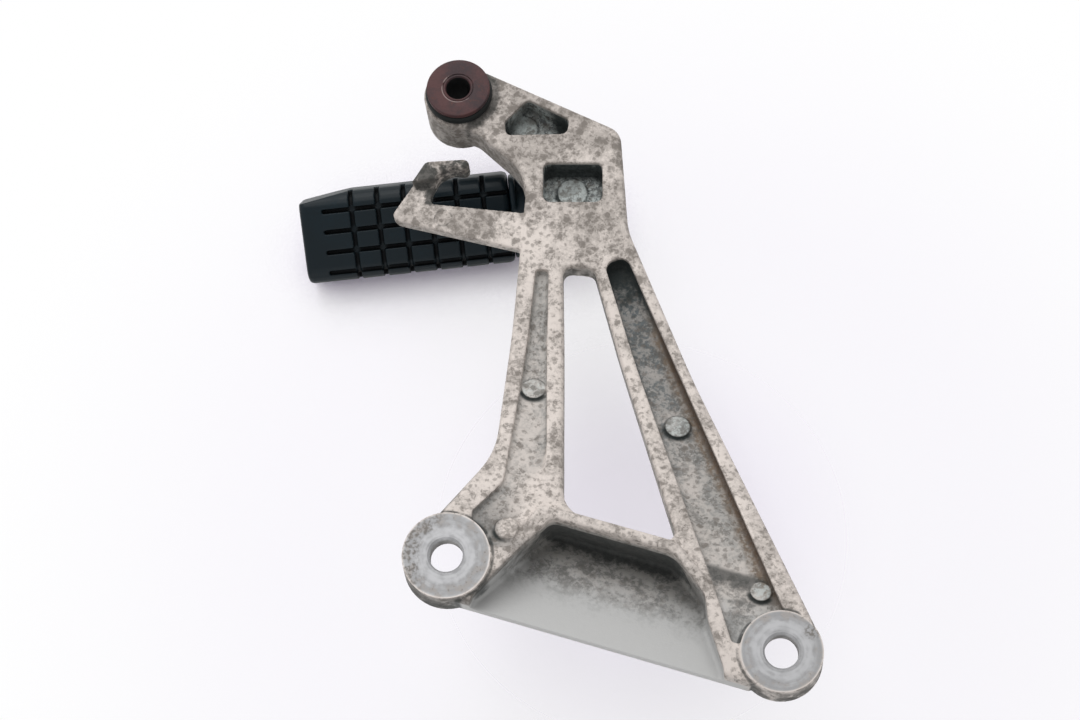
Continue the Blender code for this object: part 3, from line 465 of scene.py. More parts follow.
def dome(count):
    """Directions over a half-sphere about Z, more of them near its pole."""
    golden = math.pi * (3.0 - math.sqrt(5.0))
    directions = []
    for index in range(count):
        share = (index + 0.5) / count
        level = math.sqrt(1.0 - share)
        spread = math.sqrt(share)
        turn = golden * index
        directions.append(Vector((spread * math.cos(turn), spread * math.sin(turn), level)))
    return directions


def tree_of(piece):
    """A piece's faces, sorted for rays."""
    return BVHTree.FromObject(piece, bpy.context.evaluated_depsgraph_get())


def mark(piece, name, values):
    """Marks each vertex with a value."""
    piece.data.attributes.new(name, "FLOAT", "POINT").data.foreach_set("value", values)


def mark_shelter(piece, rays, reaches):
    """Marks how far each vertex's outlook is blocked within each named reach, by the given number of rays.
    """
    tree = tree_of(piece)
    directions = dome(rays)
    furthest = max(reaches.values())
    blocked = {name: np.zeros(len(piece.data.vertices), np.float32) for name in reaches}
    for index, vert in enumerate(piece.data.vertices):
        turn = vert.normal.to_track_quat("Z", "Y")
        start = vert.co + vert.normal * RAY_LIFT
        for direction in directions:
            distance = tree.ray_cast(start, turn @ direction, furthest)[3]
            if distance is None:
                continue
            for name, reach in reaches.items():
                if distance < reach:
                    blocked[name][index] += 1.0 - distance / reach
    for name, values in blocked.items():
        mark(piece, name, values / len(directions))


def mark_lee_dirt_and_shade(piece, reach):
    """Marks how much of each vertex's outlook, steeply up and towards +Y, is blocked within this reach:
    the side that light from there leaves in shade, later painted dark as shade and dirt.
    """
    tree = tree_of(piece)
    towards = LEE_TOWARDS.to_track_quat("Z", "Y")
    focus = Vector((0.0, 0.0, LEE_FOCUS))
    directions = [towards @ (direction + focus).normalized() for direction in dome(LEE_RAYS)]
    blocked = np.zeros(len(piece.data.vertices), np.float32)
    for index, vert in enumerate(piece.data.vertices):
        start = vert.co + vert.normal * RAY_LIFT
        hits = sum(tree.ray_cast(start, direction, reach)[0] is not None for direction in directions)
        blocked[index] = hits / len(directions)
    mark(piece, LEE_DIRT_AND_SHADE, blocked)


def new_finish(name):
    """A new material's nodes, and the place of a point on its piece."""
    paint = Paint(bpy.data.materials.new(name))
    return paint, paint.place()


class CastSkin:
    """The weathered casting's material: one method for each thing that has happened to its skin, and
    painted shade in its hollows.
    """

    # Stretches along x or y over which a thing sets in
    web_left = (0.003, 0.009)
    web_right = (0.104, 0.098)
    web_clean = (0.015, 0.001)
    web_unmarked = (0.008, -0.002)
    web_lee_dirt_and_shade = (0.004, 0.012)
    web_corner = (CROSS_RIB_Y - 0.0080, CROSS_RIB_Y - 0.0025)
    web_smudge = (CROSS_RIB_Y - 0.026, CROSS_RIB_Y - 0.008)
    hook_side = (-0.020, -0.034)
    hook_foot = (0.108, 0.114)
    finger_side = (-0.030, -0.044)
    finger_foot = (0.108, 0.136)
    plate_dull = (0.116, 0.142)
    plate_marked = (0.100, 0.140)
    channel_side = (0.012, 0.018)
    channel_end = (0.128, 0.126)
    boss_side = (0.004, 0.010)
    bush_side = (0.002, 0.008)
    stain_start = (0.118, 0.098)
    stain_end = (0.010, 0.020)
    # Distances from a centre, from where a thing sets in to where it is full
    boss_patch = (0.036, 0.018)
    channel_dark = (0.110, 0.010)
    channel_dirt = (0.036, 0.002)
    crust_patch = (0.0085, 0.0055)
    bush_dirt = (0.0175, 0.0125)
    # Depths below the face of the rails
    at_face = (0.0004, 0.001)
    sunk_depth = (0.0010, 0.0022)
    web_depth = (0.0035, 0.0050)
    ring_depth = (0.0030, 0.0010)
    bush_depth = (0.012, 0.006)
    boss_foot_depth = (0.0002, 0.0005)

    def __init__(self, looks):
        self.looks = looks
        self.paint, self.place = paint, place = new_finish("weathered_cast_aluminium")
        self.x, self.y, z = paint.split(place)
        self.plan = paint.joined(self.x, self.y, 0.0)
        self.close = paint.attribute(CLOSE_SHELTER)
        self.wide = paint.attribute(WIDE_SHELTER)
        self.lee = paint.attribute(LEE_DIRT_AND_SHADE)
        self.cloud = paint.noise(place, 0.020, 3.0)
        self.patch = paint.noise(place, looks.patch_size, 4.0, 0.6)
        self.crumb = paint.noise(place, looks.crumb_size, 4.0, 0.65)
        self.thread = paint.noise(place, looks.crumb_size * 1.7, 2.0)
        self.grain = paint.noise(place, 0.0005, 3.0, 0.6)
        face = self.y.rise(DOG_LEG_START, DOG_LEG_END, "LINEAR") * -DOG_LEG_DROP
        self.below = face - z
        self.sunk = self.below.rise(*self.sunk_depth)
        pockets = self.y.rise(POCKETS_Y, POCKETS_Y + 0.002)
        self.pockets = pockets * self.sunk * self.wide.rise(0.12, 0.25)
        web = self.y.rise(CROSS_RIB_Y + 0.002, CROSS_RIB_Y) * self.below.rise(*self.web_depth)
        self.web = web * self.x.rise(*self.web_left) * self.x.rise(*self.web_right)

    def near(self, centre, edge, core):
        """1 within the core of a place in plan, and 0 beyond its edge."""
        return self.paint.away(self.plan, centre).rise(edge, core)

    def skin(self):
        """Pale skin in uneven tones, greyer where it is sheltered and dark towards the channel's top."""
        paint, looks = self.paint, self.looks
        hook = self.x.rise(*self.hook_side) * self.y.rise(*self.hook_foot)
        dull = self.y.rise(*self.plate_dull).most(hook) * 0.070
        tone = self.cloud * 0.35 + self.patch * 0.25 + self.crumb * 0.25 + self.grain * 0.15 + dull
        skin = paint.mixed(tone.rise(0.44, 0.60), looks.skin, looks.skin_dull)
        uneven = (self.patch - 0.5) * 0.30
        sheltered = ((self.wide + uneven).rise(0.02, 0.30) * 0.6 + 0.35) * self.sunk
        skin = paint.mixed(sheltered, skin, looks.cool)
        channel = self.x.rise(*self.channel_side) * self.y.rise(*self.channel_end)
        channel = channel * (1.0 - self.web) * self.sunk
        deep = paint.away(self.plan, CHANNEL_TOP).rise(*self.channel_dark, "LINEAR") * channel
        boss = (paint.away(self.plan, REAR_BOSS) - uneven * 0.03).rise(*self.boss_patch)
        boss = boss * self.below.rise(*self.at_face)
        skin = paint.mixed((deep + uneven * deep * 1.5).most(boss * 0.7) * 0.75, skin, looks.dusk)
        flecks = (self.crumb * 0.7 + self.patch * 0.3).rise(0.47, 0.54)
        skin = paint.mixed(flecks * sheltered * (deep * 0.9 + 0.3), skin, looks.slate)
        pale = (self.crumb * 0.6 + self.grain * 0.4).rise(0.46, 0.38)
        skin = paint.mixed(pale * deep * 0.6, skin, looks.cool)
        clean = self.web * (self.y + (self.patch - 0.5) * 0.016).rise(*self.web_clean)
        return paint.mixed(clean, skin, looks.web)

    def marks(self):
        """Corrosion: scattered spots, joined by patches of dark crumbs and threads on the top plate."""
        paint = self.paint
        plate = self.y.rise(*self.plate_marked)
        hook = self.x.rise(*self.finger_side) * self.y.rise(*self.finger_foot)
        boss = self.near(REAR_BOSS, *self.boss_patch) * self.x.rise(*self.boss_side)
        amount = self.patch + (self.cloud - 0.5) * 0.40 + plate * 0.055 + hook * 0.06 + boss * 0.08
        spot = paint.spots(paint.warped(self.place, 0.0025, 0.0026), 0.0038)
        spots = (spot + (self.crumb - 0.5) * 1.2 - plate * 0.06).rise(0.36, 0.18)
        spots = spots * amount.rise(0.34, 0.52)
        speck = paint.spots(paint.warped(self.place, 0.0014, 0.0014), 0.0024)
        specks = (speck + (self.grain - 0.5) * 0.8 + (self.cloud - 0.5) * 0.5).rise(0.30, 0.16)
        patches = amount.rise(0.55, 0.67) * (self.crumb.rise(0.42, 0.58) * 0.85 + 0.12)
        threads = abs(self.thread - 0.5).rise(0.045, 0.008)
        threads = threads * amount.rise(0.46, 0.56) * self.crumb.rise(0.42, 0.54)
        marks = (spots * 0.82).most(patches * (plate * 0.4 + 0.45)).most(threads * 0.7).most(specks * 0.55)
        return marks * (1.0 - self.web * (self.y.rise(*self.web_unmarked) * 0.6 + 0.4))

    def crusted(self, skin):
        """Pale crystals on black, on the floors of the pockets."""
        floor = self.pockets * (self.close + (self.patch - 0.5) * 0.6).rise(0.44, 0.16)
        crystals = (self.crumb * 0.8 + self.grain * 0.2).rise(0.42, 0.54)
        crystals = self.paint.mixed(crystals, self.looks.slate, self.looks.crust)
        return self.paint.mixed(floor * 0.9, skin, crystals)

    def stained(self, skin):
        """Brown run-off along the inside of the front rail's outer rib."""
        along = (STAIN_FOOT - STAIN_TOP).normalized()
        inward = Vector((along.y, -along.x, 0.0))
        inside = self.x * inward.x + self.y * inward.y - inward.dot(STAIN_TOP)
        band = (inside + (self.patch - 0.5) * 0.005).rise(0.0050, 0.0022) * inside.rise(-0.0010, 0.0003)
        band = band * self.y.rise(*self.stain_start) * self.y.rise(*self.stain_end) * self.sunk
        skin = self.paint.mixed(band * (self.crumb.rise(0.40, 0.58) * 0.6 + 0.35), skin, self.looks.stain)
        foot = (inside + (self.crumb - 0.5) * 0.002).rise(0.0018, 0.0008) * band
        return self.paint.mixed(foot * 0.7, skin, self.looks.rust_line)

    def padded(self, skin):
        """The ejector pads' tops keep a paler, greener skin."""
        for x, y, radius in PADS:
            top = self.near((x, y), radius - 0.0001, radius - 0.0005) * self.sunk
            top = top * (self.crumb.rise(0.56, 0.44) * 0.5 + 0.2)
            skin = self.paint.mixed(top, skin, self.looks.crust)
        return skin

    def dirt_and_shade_in_hollows(self, wander):
        """Road dirt with painted shade: darker in corners, on walls and floors shaded from above, at the
        channel's top and under the cross rib.
        """
        # Painted shade with dirt: darker where the surface is closely hemmed in
        corners = (self.close + wander).rise(0.18, 0.42) * (self.pockets * 0.4 + 0.45)
        # Painted shade with dirt, where light from above +Y is blocked
        lee = (self.lee + wander * 0.5).rise(0.25, 0.85)
        top = self.near(CHANNEL_TOP, *self.channel_dirt) + wander * 2.0 + lee * 0.25
        top = top.rise(0.35, 0.95) * self.sunk * self.wide.rise(0.14, 0.24)
        bare = self.pockets * (1.0 - self.near(CRUST, *self.crust_patch) * 0.85)
        # Painted shade with dirt on the pocket walls and floors, the channel's top and the web's upper
        # part
        walls = lee * bare.most(top).most(self.web * self.y.rise(*self.web_lee_dirt_and_shade) * 0.42)
        # Painted shade with dirt in a band under the cross rib
        under_rib = (self.y + wander * 0.024).rise(*self.web_corner) * self.web
        smudge = (self.y + wander * 0.050).rise(*self.web_smudge) * self.web
        smudge = smudge * (self.crumb * 0.5 + self.patch * 0.5).rise(0.42, 0.56)
        return corners.most(top).most(walls).most(under_rib * 0.9).most(smudge * 0.36)

    def smears(self, wander):
        """Road dirt rubbed on to the hook, and beside the bush."""
        hook = 0.0
        for centre, edge, core, strength in HOOK_SMEARS:
            hook = (self.near(centre, edge, core) * strength).most(hook)
        hook = (hook + wander * 4.5).rise(0.35, 0.80)
        bush = self.near(BUSH, *self.bush_dirt) * (self.x - BUSH.x).rise(*self.bush_side)
        bush = (bush + wander * 2.5).rise(0.35, 1.0) * self.below.rise(*self.bush_depth)
        return (hook * 0.85).most(bush * 0.75)

    def rings(self, dirt_and_shade):
        """Adds painted shadow, with dirt, on the lower side of the ejector pads and round the frame
        bosses' feet, a dirt line round the pads, and dirt in a foundry ring on the hook's arm.
        """
        paint = self.paint
        for x, y, radius in PADS:
            away = paint.away(self.plan, (x, y))
            # Painted shadow with dirt on each pad's lower side, and a dirt line round its foot
            shade = away.rise(radius - 0.0004, radius) * away.rise(radius + 0.0019, radius + 0.0005)
            lower = ((y - self.y) / away).rise(-0.1, 0.6)
            line = abs(away - radius - 0.0002).rise(0.0006, 0.0001)
            dirt_and_shade = dirt_and_shade.most((shade * lower).most(line * 0.5) * self.sunk)
        for centre, radius in ((REAR_BOSS, REAR_RADIUS), (FRONT_BOSS, FRONT_RADIUS)):
            # Painted shadow line with dirt round each boss's foot
            foot = abs(paint.away(self.plan, centre) - radius - 0.0007).rise(0.0009, 0.0002)
            foot = foot * (self.patch + 0.1).rise(0.45, 0.62) * self.below.rise(*self.boss_foot_depth)
            dirt_and_shade = dirt_and_shade.most(foot * 0.8)
        ring = abs(paint.away(self.plan, HOOK_RING) - HOOK_RING_RADIUS).rise(0.0004, 0.0001)
        ring = ring * self.crumb.rise(0.40, 0.55) * self.below.rise(*self.ring_depth)
        return dirt_and_shade.most(ring * 0.45)

    def material(self):
        """The layers, from the bare skin to the dirt and painted shade on top."""
        paint, looks = self.paint, self.looks
        wander = (self.patch - 0.5) * 0.35 + (self.crumb - 0.5) * 0.20
        marks = self.marks()
        dirt_and_shade = self.rings(self.dirt_and_shade_in_hollows(wander).most(self.smears(wander)))
        skin = self.padded(self.stained(self.crusted(self.skin())))
        skin = paint.mixed(marks * 0.80, skin, looks.corrosion)
        # Dirt and painted shade darken the skin
        skin = paint.mixed(dirt_and_shade * 0.93, skin, looks.grime_and_shade)
        clean = (1.0 - marks) * (1.0 - dirt_and_shade)
        height = self.crumb * 0.45 + self.grain * 0.25 - marks * 0.6
        return paint.finish(
            Base_Color=skin,
            Roughness=0.84 - clean * 0.22 + (self.crumb - 0.5) * 0.12,
            Metallic=clean * 0.15,
            Specular_IOR_Level=0.35,
            Normal=paint.relief(height, 0.00014),
        )


def machined_finish(looks):
    """Faced and bored aluminium, with turning rings, a worn ring from the frame's lug, dirty outer bands,
    a painted highlight round the faces' rims and painted shade deeper in the bores.
    """
    worn_radius = 0.0098
    outer_band = (0.0088, 0.0112)
    bore_depth = (-0.0008, -0.0030)
    paint, place = new_finish("machined_aluminium")
    x, y, z = paint.split(place)
    plan = paint.joined(x, y, 0.0)
    rear = paint.away(plan, REAR_BOSS)
    radius = rear.least(paint.away(plan, FRONT_BOSS))
    rim = REAR_RADIUS - x.rise(0.040, 0.050) * (REAR_RADIUS - FRONT_RADIUS) - radius
    cloud = paint.noise(place, 0.010, 3.0)
    patch = paint.noise(place, 0.0035, 4.0, 0.6)
    grain = paint.noise(place, 0.0010, 3.0)
    rings = paint.noise(paint.joined(radius, 0.0, 0.0), 0.00022, 2.0)
    bands = paint.noise(paint.joined(radius, cloud * 0.004, 0.0), 0.0018, 2.0)
    worn = abs(radius - worn_radius + (cloud - 0.5) * 0.002).rise(0.0007, 0.0001)
    outer = radius.rise(*outer_band)
    tone = bands * 0.5 + cloud * 0.3 + patch * 0.2 + outer * 0.09
    metal = paint.mixed(tone.rise(0.44, 0.64), looks.machined, looks.machined_dull)
    metal = paint.mixed(worn * patch.rise(0.40, 0.55) * 0.45, metal, looks.machined_dull)
    metal = paint.mixed(outer * patch.rise(0.46, 0.62) * 0.5, metal, looks.skin_dull)
    # Painted highlight: a pale line round each machined face's rim
    metal = paint.mixed(rim.rise(0.0007, 0.0001) * 0.7, metal, looks.skin)
    left = x.rise(-0.0020, -0.0090) * rear.rise(0.015, 0.013) * radius.rise(0.0075, 0.0100)
    stain = paint.away(plan, FRONT_STAIN).rise(0.0034, 0.0012)
    spots = grain.rise(0.44, 0.58) * (left * patch.rise(0.38, 0.52)).most(stain)
    spots = spots.most(grain.rise(0.56, 0.66) * patch.rise(0.50, 0.60) * (outer * 0.7 + 0.1))
    metal = paint.mixed(spots * 0.70, metal, looks.corrosion)
    # Painted shade: the bores darken with depth, towards the corrosion colour
    bore = z.rise(*bore_depth)
    metal = paint.mixed(bore * 0.55, metal, looks.corrosion)
    return paint.finish(
        Base_Color=metal,
        Roughness=0.46 + patch.rise(0.4, 0.6) * 0.2 + (rings - 0.5) * 0.12,
        Metallic=0.40 - spots * 0.35,
        Normal=paint.relief(rings * 0.6 + patch, 0.00003),
    )


def rust_finish(looks):
    """Even dark rust with redder and blacker parts, and a pale arc where the collar's joint has worn."""
    paint, place = new_finish("rusted_steel")
    cloud = paint.noise(place, 0.009, 3.0)
    patch = paint.noise(place, 0.0030, 4.0, 0.6)
    grain = paint.noise(place, 0.0006, 3.0, 0.6)
    rust = paint.mixed((cloud * 0.6 + patch * 0.4).rise(0.42, 0.62), looks.rust, looks.rust_dark)
    rust = paint.mixed((patch * 0.6 + grain * 0.4).rise(0.54, 0.66) * 0.5, rust, looks.rust_bright)
    rust = paint.mixed(grain.rise(0.56, 0.68) * 0.5, rust, looks.rust_dark)
    x, y, z = paint.split(place)
    joint = abs(paint.away(paint.joined(x, y, 0.0), BUSH) - COLLAR_JOINT - 0.0003).rise(0.00035, 0.0001)
    worn = (patch - (x - BUSH.x + y - BUSH.y) * 18.0).rise(0.46, 0.60)
    rust = paint.mixed(joint * worn * 0.75, rust, looks.bare)
    return paint.finish(
        Base_Color=rust,
        Roughness=0.60 + (grain - 0.5) * 0.3,
        Specular_IOR_Level=0.25,
        Normal=paint.relief(grain + patch * 0.5, 0.00006),
    )


def bore_finish(looks):
    """The collar's bore, black with old grease."""
    paint, place = new_finish("greasy_bore")
    grain = paint.noise(place, 0.0012, 3.0, 0.6)
    grease = paint.mixed(grain.rise(0.40, 0.65), looks.grease, looks.grease_dust)
    return paint.finish(Base_Color=grease, Roughness=0.75 + (grain - 0.5) * 0.3, Specular_IOR_Level=0.2)


def rubber_finish(name, base, groove, shine):
    """Moulded rubber: dull black, a little chalky on its high spots, with painted shade in its grooves."""
    paint, place = new_finish(name)
    cloud = paint.noise(place, 0.014, 4.0, 0.6)
    grain = paint.noise(place, 0.0005, 3.0, 0.6)
    # Painted shade: the tread's grooves, closely hemmed in, darken
    deep = paint.attribute(CLOSE_SHELTER).rise(0.10, 0.36)
    dust = cloud.rise(0.48, 0.72) * grain.rise(0.35, 0.65)
    black = paint.mixed(dust * 0.45, base, Vector(base) * 2.2)
    black = paint.mixed(deep * 0.9, black, groove)
    return paint.finish(
        Base_Color=black,
        Roughness=shine + dust * 0.15 + deep * 0.3 + (grain - 0.5) * 0.10,
        Specular_IOR_Level=0.18,
        Normal=paint.relief(grain + cloud * 0.4, 0.00003),
    )


def black_finish(looks):
    """Black coat on a forging, worn thin in places."""
    paint, place = new_finish("black_coated_steel")
    cloud = paint.noise(place, 0.008, 4.0, 0.6)
    grain = paint.noise(place, 0.0009, 4.0, 0.6)
    worn = (cloud * 0.7 + grain * 0.3).rise(0.62, 0.72)
    coat = paint.mixed(cloud.rise(0.35, 0.7), looks.black, Vector(looks.black) * 1.8)
    coat = paint.mixed(worn * 0.8, coat, looks.rust)
    return paint.finish(
        Base_Color=coat,
        Roughness=0.45 + worn * 0.35 + (grain - 0.5) * 0.1,
        Metallic=worn * 0.3,
        Specular_IOR_Level=0.25,
        Normal=paint.relief(cloud + grain * 0.4 - worn * 0.5, 0.00008),
    )


def zinc_finish(looks):
    """Dulled zinc plating with pale bloom and first rust."""
    paint, place = new_finish("dull_zinc_plating")
    cloud = paint.noise(place, 0.004, 4.0, 0.6)
    grain = paint.noise(place, 0.0006, 4.0, 0.6)
    bloom = cloud.rise(0.48, 0.66)
    rusty = (cloud * 0.5 + grain * 0.5).rise(0.60, 0.68)
    metal = paint.mixed(bloom * 0.6, looks.zinc, Vector(looks.zinc) * 0.7)
    metal = paint.mixed(rusty * 0.8, metal, looks.rust_bright)
    return paint.finish(
        Base_Color=metal,
        Roughness=0.36 + bloom * 0.22 + rusty * 0.2,
        Metallic=0.85 - rusty * 0.7,
        Normal=paint.relief(grain * 0.5 + cloud, 0.00004),
    )


def floor_finish(looks):
    """Pale floor that keeps soft shadows and lets the white beyond show, more so away from the piece."""
    # Distances from the floor's middle over which more of the white shows, and how much more
    fades = (((0.02, 0.09), 0.32), ((0.11, 0.26), 0.22))
    least_white = 0.46
    contact_reach = 0.035
    paint, place = new_finish("pale_floor")
    camera = paint.node("ShaderNodeLightPath", output="Is Camera Ray")
    tint = paint.mixed(camera, looks.bounce, looks.floor)
    cloud = paint.noise(place, 0.05, 2.0)
    paint.finish(Base_Color=tint, Roughness=0.86 + cloud * 0.08)
    away = paint.vector("LENGTH", place, (0.0, 0.0, 0.0), "Value")
    share = least_white
    for stretch, gain in fades:
        share = away.rise(*stretch) * gain + share
    uncovered = paint.node("ShaderNodeAmbientOcclusion", {"samples": 8}, {"Distance": contact_reach}, "AO")
    share = share * uncovered.rise(0.20, 0.95) * paint.seen()
    floor = Field(paint, paint.nodes["Principled BSDF"].outputs[0])
    beyond = paint.node("ShaderNodeBsdfTransparent")
    surface = paint.node("ShaderNodeMixShader", values={0: share, 1: floor, 2: beyond})
    paint.fill(paint.nodes["Material Output"].inputs["Surface"], surface)
    return paint.owner


class FOOTREST_OT_casting(Operator):
    """Dress the casting: soft cast edges, machined frame bosses, and its weathered skin"""

    bl_idname = "footrest.casting"
    bl_label = "Hanger casting"

    bosses = ((REAR_BOSS, REAR_RADIUS), (FRONT_BOSS, FRONT_RADIUS))
    most_triangles = 186000
    crease = 40.0
    rays = 24
    close_reach = 0.0045
    wide_reach = 0.024
    # Metal that is filled in before the bosses are machined: over the face, down from it, and in the bores
    allowance = 0.0008
    head_depth = 0.0030
    core_top = -0.0020
    core_margin = 0.0005
    core_gap = 0.0002
    # What the machining leaves, and how far its tool runs over
    bore = 0.00525
    chamfer = 0.0006
    seat_radius = 0.0095
    seat_height = -0.0058
    back = -0.0120
    overrun = 0.0030
    rim_overrun = 0.0015

    def execute(self, context):
        looks = context.scene.footrest_casting
        shape = (looks.grain, looks.softening, self.most_triangles, self.plugs())
        piece = skin_of("hanger_casting", "hanger_casting_skin", *shape)
        self.machine(piece)
        smooth(piece, self.crease)
        mark_shelter(piece, self.rays, {CLOSE_SHELTER: self.close_reach, WIDE_SHELTER: self.wide_reach})
        mark_lee_dirt_and_shade(piece, self.wide_reach)
        finishes = (CastSkin(looks).material(), machined_finish(looks))
        dress(piece, HANGER, "hanger_casting", "cast_aluminium", *finishes)
        self.mark_machined(piece)
        return {"FINISHED"}

    def plugs(self):
        """Profiles and places of what is filled in: the bosses for machining, and the pockets' floors."""
        plugs = []
        core = self.seat_radius + self.core_margin
        core_foot = self.back + self.core_gap
        for centre, radius in self.bosses:
            head = [(0.0, self.allowance), (radius, self.allowance), (radius, -self.head_depth)]
            head.append((0.0, -self.head_depth))
            cone = [(0.0, 0.0), (core, self.core_top), (core, core_foot), (0.0, core_foot)]
            plugs += [(head, Matrix.Translation(centre)), (cone, Matrix.Translation(centre))]
        for x, y, radius, top, foot in POCKET_PLUGS:
            profile = [(0.0, top), (radius, top), (radius, foot), (0.0, foot)]
            plugs.append((profile, Matrix.Translation((x, y, 0.0))))
        return plugs

    def machine(self, piece):
        """Faces the frame bosses, bores them and sinks their bolt seats."""
        bm = bmesh.new()
        for centre, radius in self.bosses:
            profile = [
                (0.0, self.overrun),
                (radius + self.rim_overrun, self.overrun),
                (radius + self.rim_overrun, 0.0),
                (self.bore + self.chamfer, 0.0),
                (self.bore, -self.chamfer),
                (self.bore, self.seat_height),
                (self.seat_radius, self.seat_height),
                (self.seat_radius, self.back - self.overrun),
                (0.0, self.back - self.overrun),
            ]
            add_turned(bm, profile, Matrix.Translation(centre))
        tool = linked("boss_cutter", mesh_from(bm, "boss_cutter"))
        cut = piece.modifiers.new("machined", "BOOLEAN")
        cut.operation = "DIFFERENCE"
        cut.solver = "EXACT"
        cut.object = tool
        settle(piece)
        bpy.data.objects.remove(tool)

    def mark_machined(self, piece):
        """Gives the machined finish to the bosses' faces, bores and bolt seats."""
        for face in piece.data.polygons:
            middle = face.center
            for centre, radius in self.bosses:
                away = (middle - centre).to_2d().length
                faced = abs(middle.z) < 0.00001
                bored = away < self.seat_radius + 0.0001
                if away < radius + 0.001 and (faced or bored):
                    face.material_index = 1


class FOOTREST_OT_bush(Operator):
    """Make the rubber bush and the flanged steel collar through it"""

    bl_idname = "footrest.bush"
    bl_label = "Silencer bush and collar"

    collar_radius = 0.0113
    tube_radius = 0.0060
    bore_radius = 0.0043
    flange = 0.0020
    joint_width = 0.00018
    joint_depth = 0.0004
    joint_step = 0.0001
    bush_radius = 0.0120
    bush_body = 0.0087
    lip = 0.0030
    back_radius = 0.0108
    back_lip = 0.0020

    def execute(self, context):
        place = Matrix.Translation((BUSH.x, BUSH.y, 0.0))
        self.make_collar(context.scene.footrest_steel, place)
        self.make_bush(context.scene.footrest_rubber, place)
        return {"FINISHED"}

    def make_collar(self, looks, place):
        """Turns the collar, with a fine groove round the end of its tube."""
        low, high = (corner.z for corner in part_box("silencer_collar"))
        seat = high - self.flange
        tube_end = high - self.joint_step
        section = [
            (self.collar_radius, high, 0.0004),
            (self.collar_radius, seat, 0.0003),
            (self.tube_radius, seat, 0.0),
            (self.tube_radius, low, 0.0004),
            (self.bore_radius, low, 0.0003),
            (self.bore_radius, high - 0.0007, 0.0002),
            (self.bore_radius + 0.0004, tube_end, 0.0001),
            (COLLAR_JOINT - self.joint_width, tube_end, 0.0001),
            (COLLAR_JOINT - self.joint_width * 0.5, high - self.joint_depth, 0.0),
            (COLLAR_JOINT + self.joint_width * 0.5, high - self.joint_depth, 0.0),
            (COLLAR_JOINT + self.joint_width, high, 0.0001),
        ]
        piece = turned_ring("silencer_collar_skin", section, place)
        dress(piece, HANGER, "silencer_collar", "rusted_steel", rust_finish(looks), bore_finish(looks))
        axis = place.translation
        for face in piece.data.polygons:
            if (face.center - axis).to_2d().length < self.bore_radius + 0.0001:
                face.material_index = 1

    def make_bush(self, looks, place):
        """Turns the bush, with a lip at each end."""
        low, high = (corner.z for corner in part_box("silencer_bush"))
        front = high - self.lip
        back = low + self.back_lip
        bore = self.tube_radius + 0.0002
        section = [
            (self.bush_radius - 0.0004, high, 0.0007),
            (self.bush_radius, high - self.lip / 2.0, 0.0008),
            (self.bush_radius - 0.0002, front, 0.0003),
            (self.bush_body, front, 0.0),
            (self.bush_body, back, 0.0),
            (self.back_radius - 0.0002, back, 0.0003),
            (self.back_radius, low + self.back_lip / 2.0, 0.0006),
            (self.back_radius - 0.0004, low, 0.0005),
            (bore, low, 0.0003),
            (bore, high, 0.0003),
        ]
        piece = turned_ring("silencer_bush_skin", section, place)
        finish = rubber_finish("bush_rubber", looks.bush, looks.groove, 0.55)
        dress(piece, HANGER, "silencer_bush", "bush_rubber", finish)


class FOOTREST_OT_tread(Operator):
    """Dress the footpeg's rubber, with the soft edges of moulded blocks"""

    bl_idname = "footrest.tread"
    bl_label = "Footpeg rubber"

    most_triangles = 160000
    softening = 3
    crease = 60.0
    rays = 16
    close_reach = 0.0035

    def execute(self, context):
        looks = context.scene.footrest_rubber
        piece = skin_of("peg_rubber", "peg_rubber_skin", looks.grain, self.softening, self.most_triangles)
        smooth(piece, self.crease)
        mark_shelter(piece, self.rays, {CLOSE_SHELTER: self.close_reach})
        finish = rubber_finish("tread_rubber", looks.tread, looks.groove, 0.40)
        dress(piece, FOOTPEG, "peg_rubber", "tread_rubber", finish)
        return {"FINISHED"}


class FOOTREST_OT_arm(Operator):
    """Dress the footpeg's forged arm"""

    bl_idname = "footrest.arm"
    bl_label = "Footpeg arm"

    grain = 0.00045
    softening = 3
    crease = 60.0
    most_triangles = 60000

    def execute(self, context):
        piece = skin_of("peg_bar", "peg_bar_skin", self.grain, self.softening, self.most_triangles)
        smooth(piece, self.crease)
        dress(piece, FOOTPEG, "peg_bar", "black_steel", black_finish(context.scene.footrest_steel))
        return {"FINISHED"}


class FOOTREST_OT_fasteners(Operator):
    """Finish the hinge pin, its washer and split pin, the detent and the rubber's screws"""

    bl_idname = "footrest.fasteners"
    bl_label = "Pins, screws and detent"

    pieces = (
        "hinge_pin",
        "hinge_washer",
        "split_pin",
        "detent_ball",
        "detent_spring",
        "rubber_screw_inner",
        "rubber_screw_outer",
        "rubber_washer_inner",
        "rubber_washer_outer",
    )

    def execute(self, context):
        finish = zinc_finish(context.scene.footrest_steel)
        for name in self.pieces:
            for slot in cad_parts[name].material_slots:
                slot.material = finish
        return {"FINISHED"}


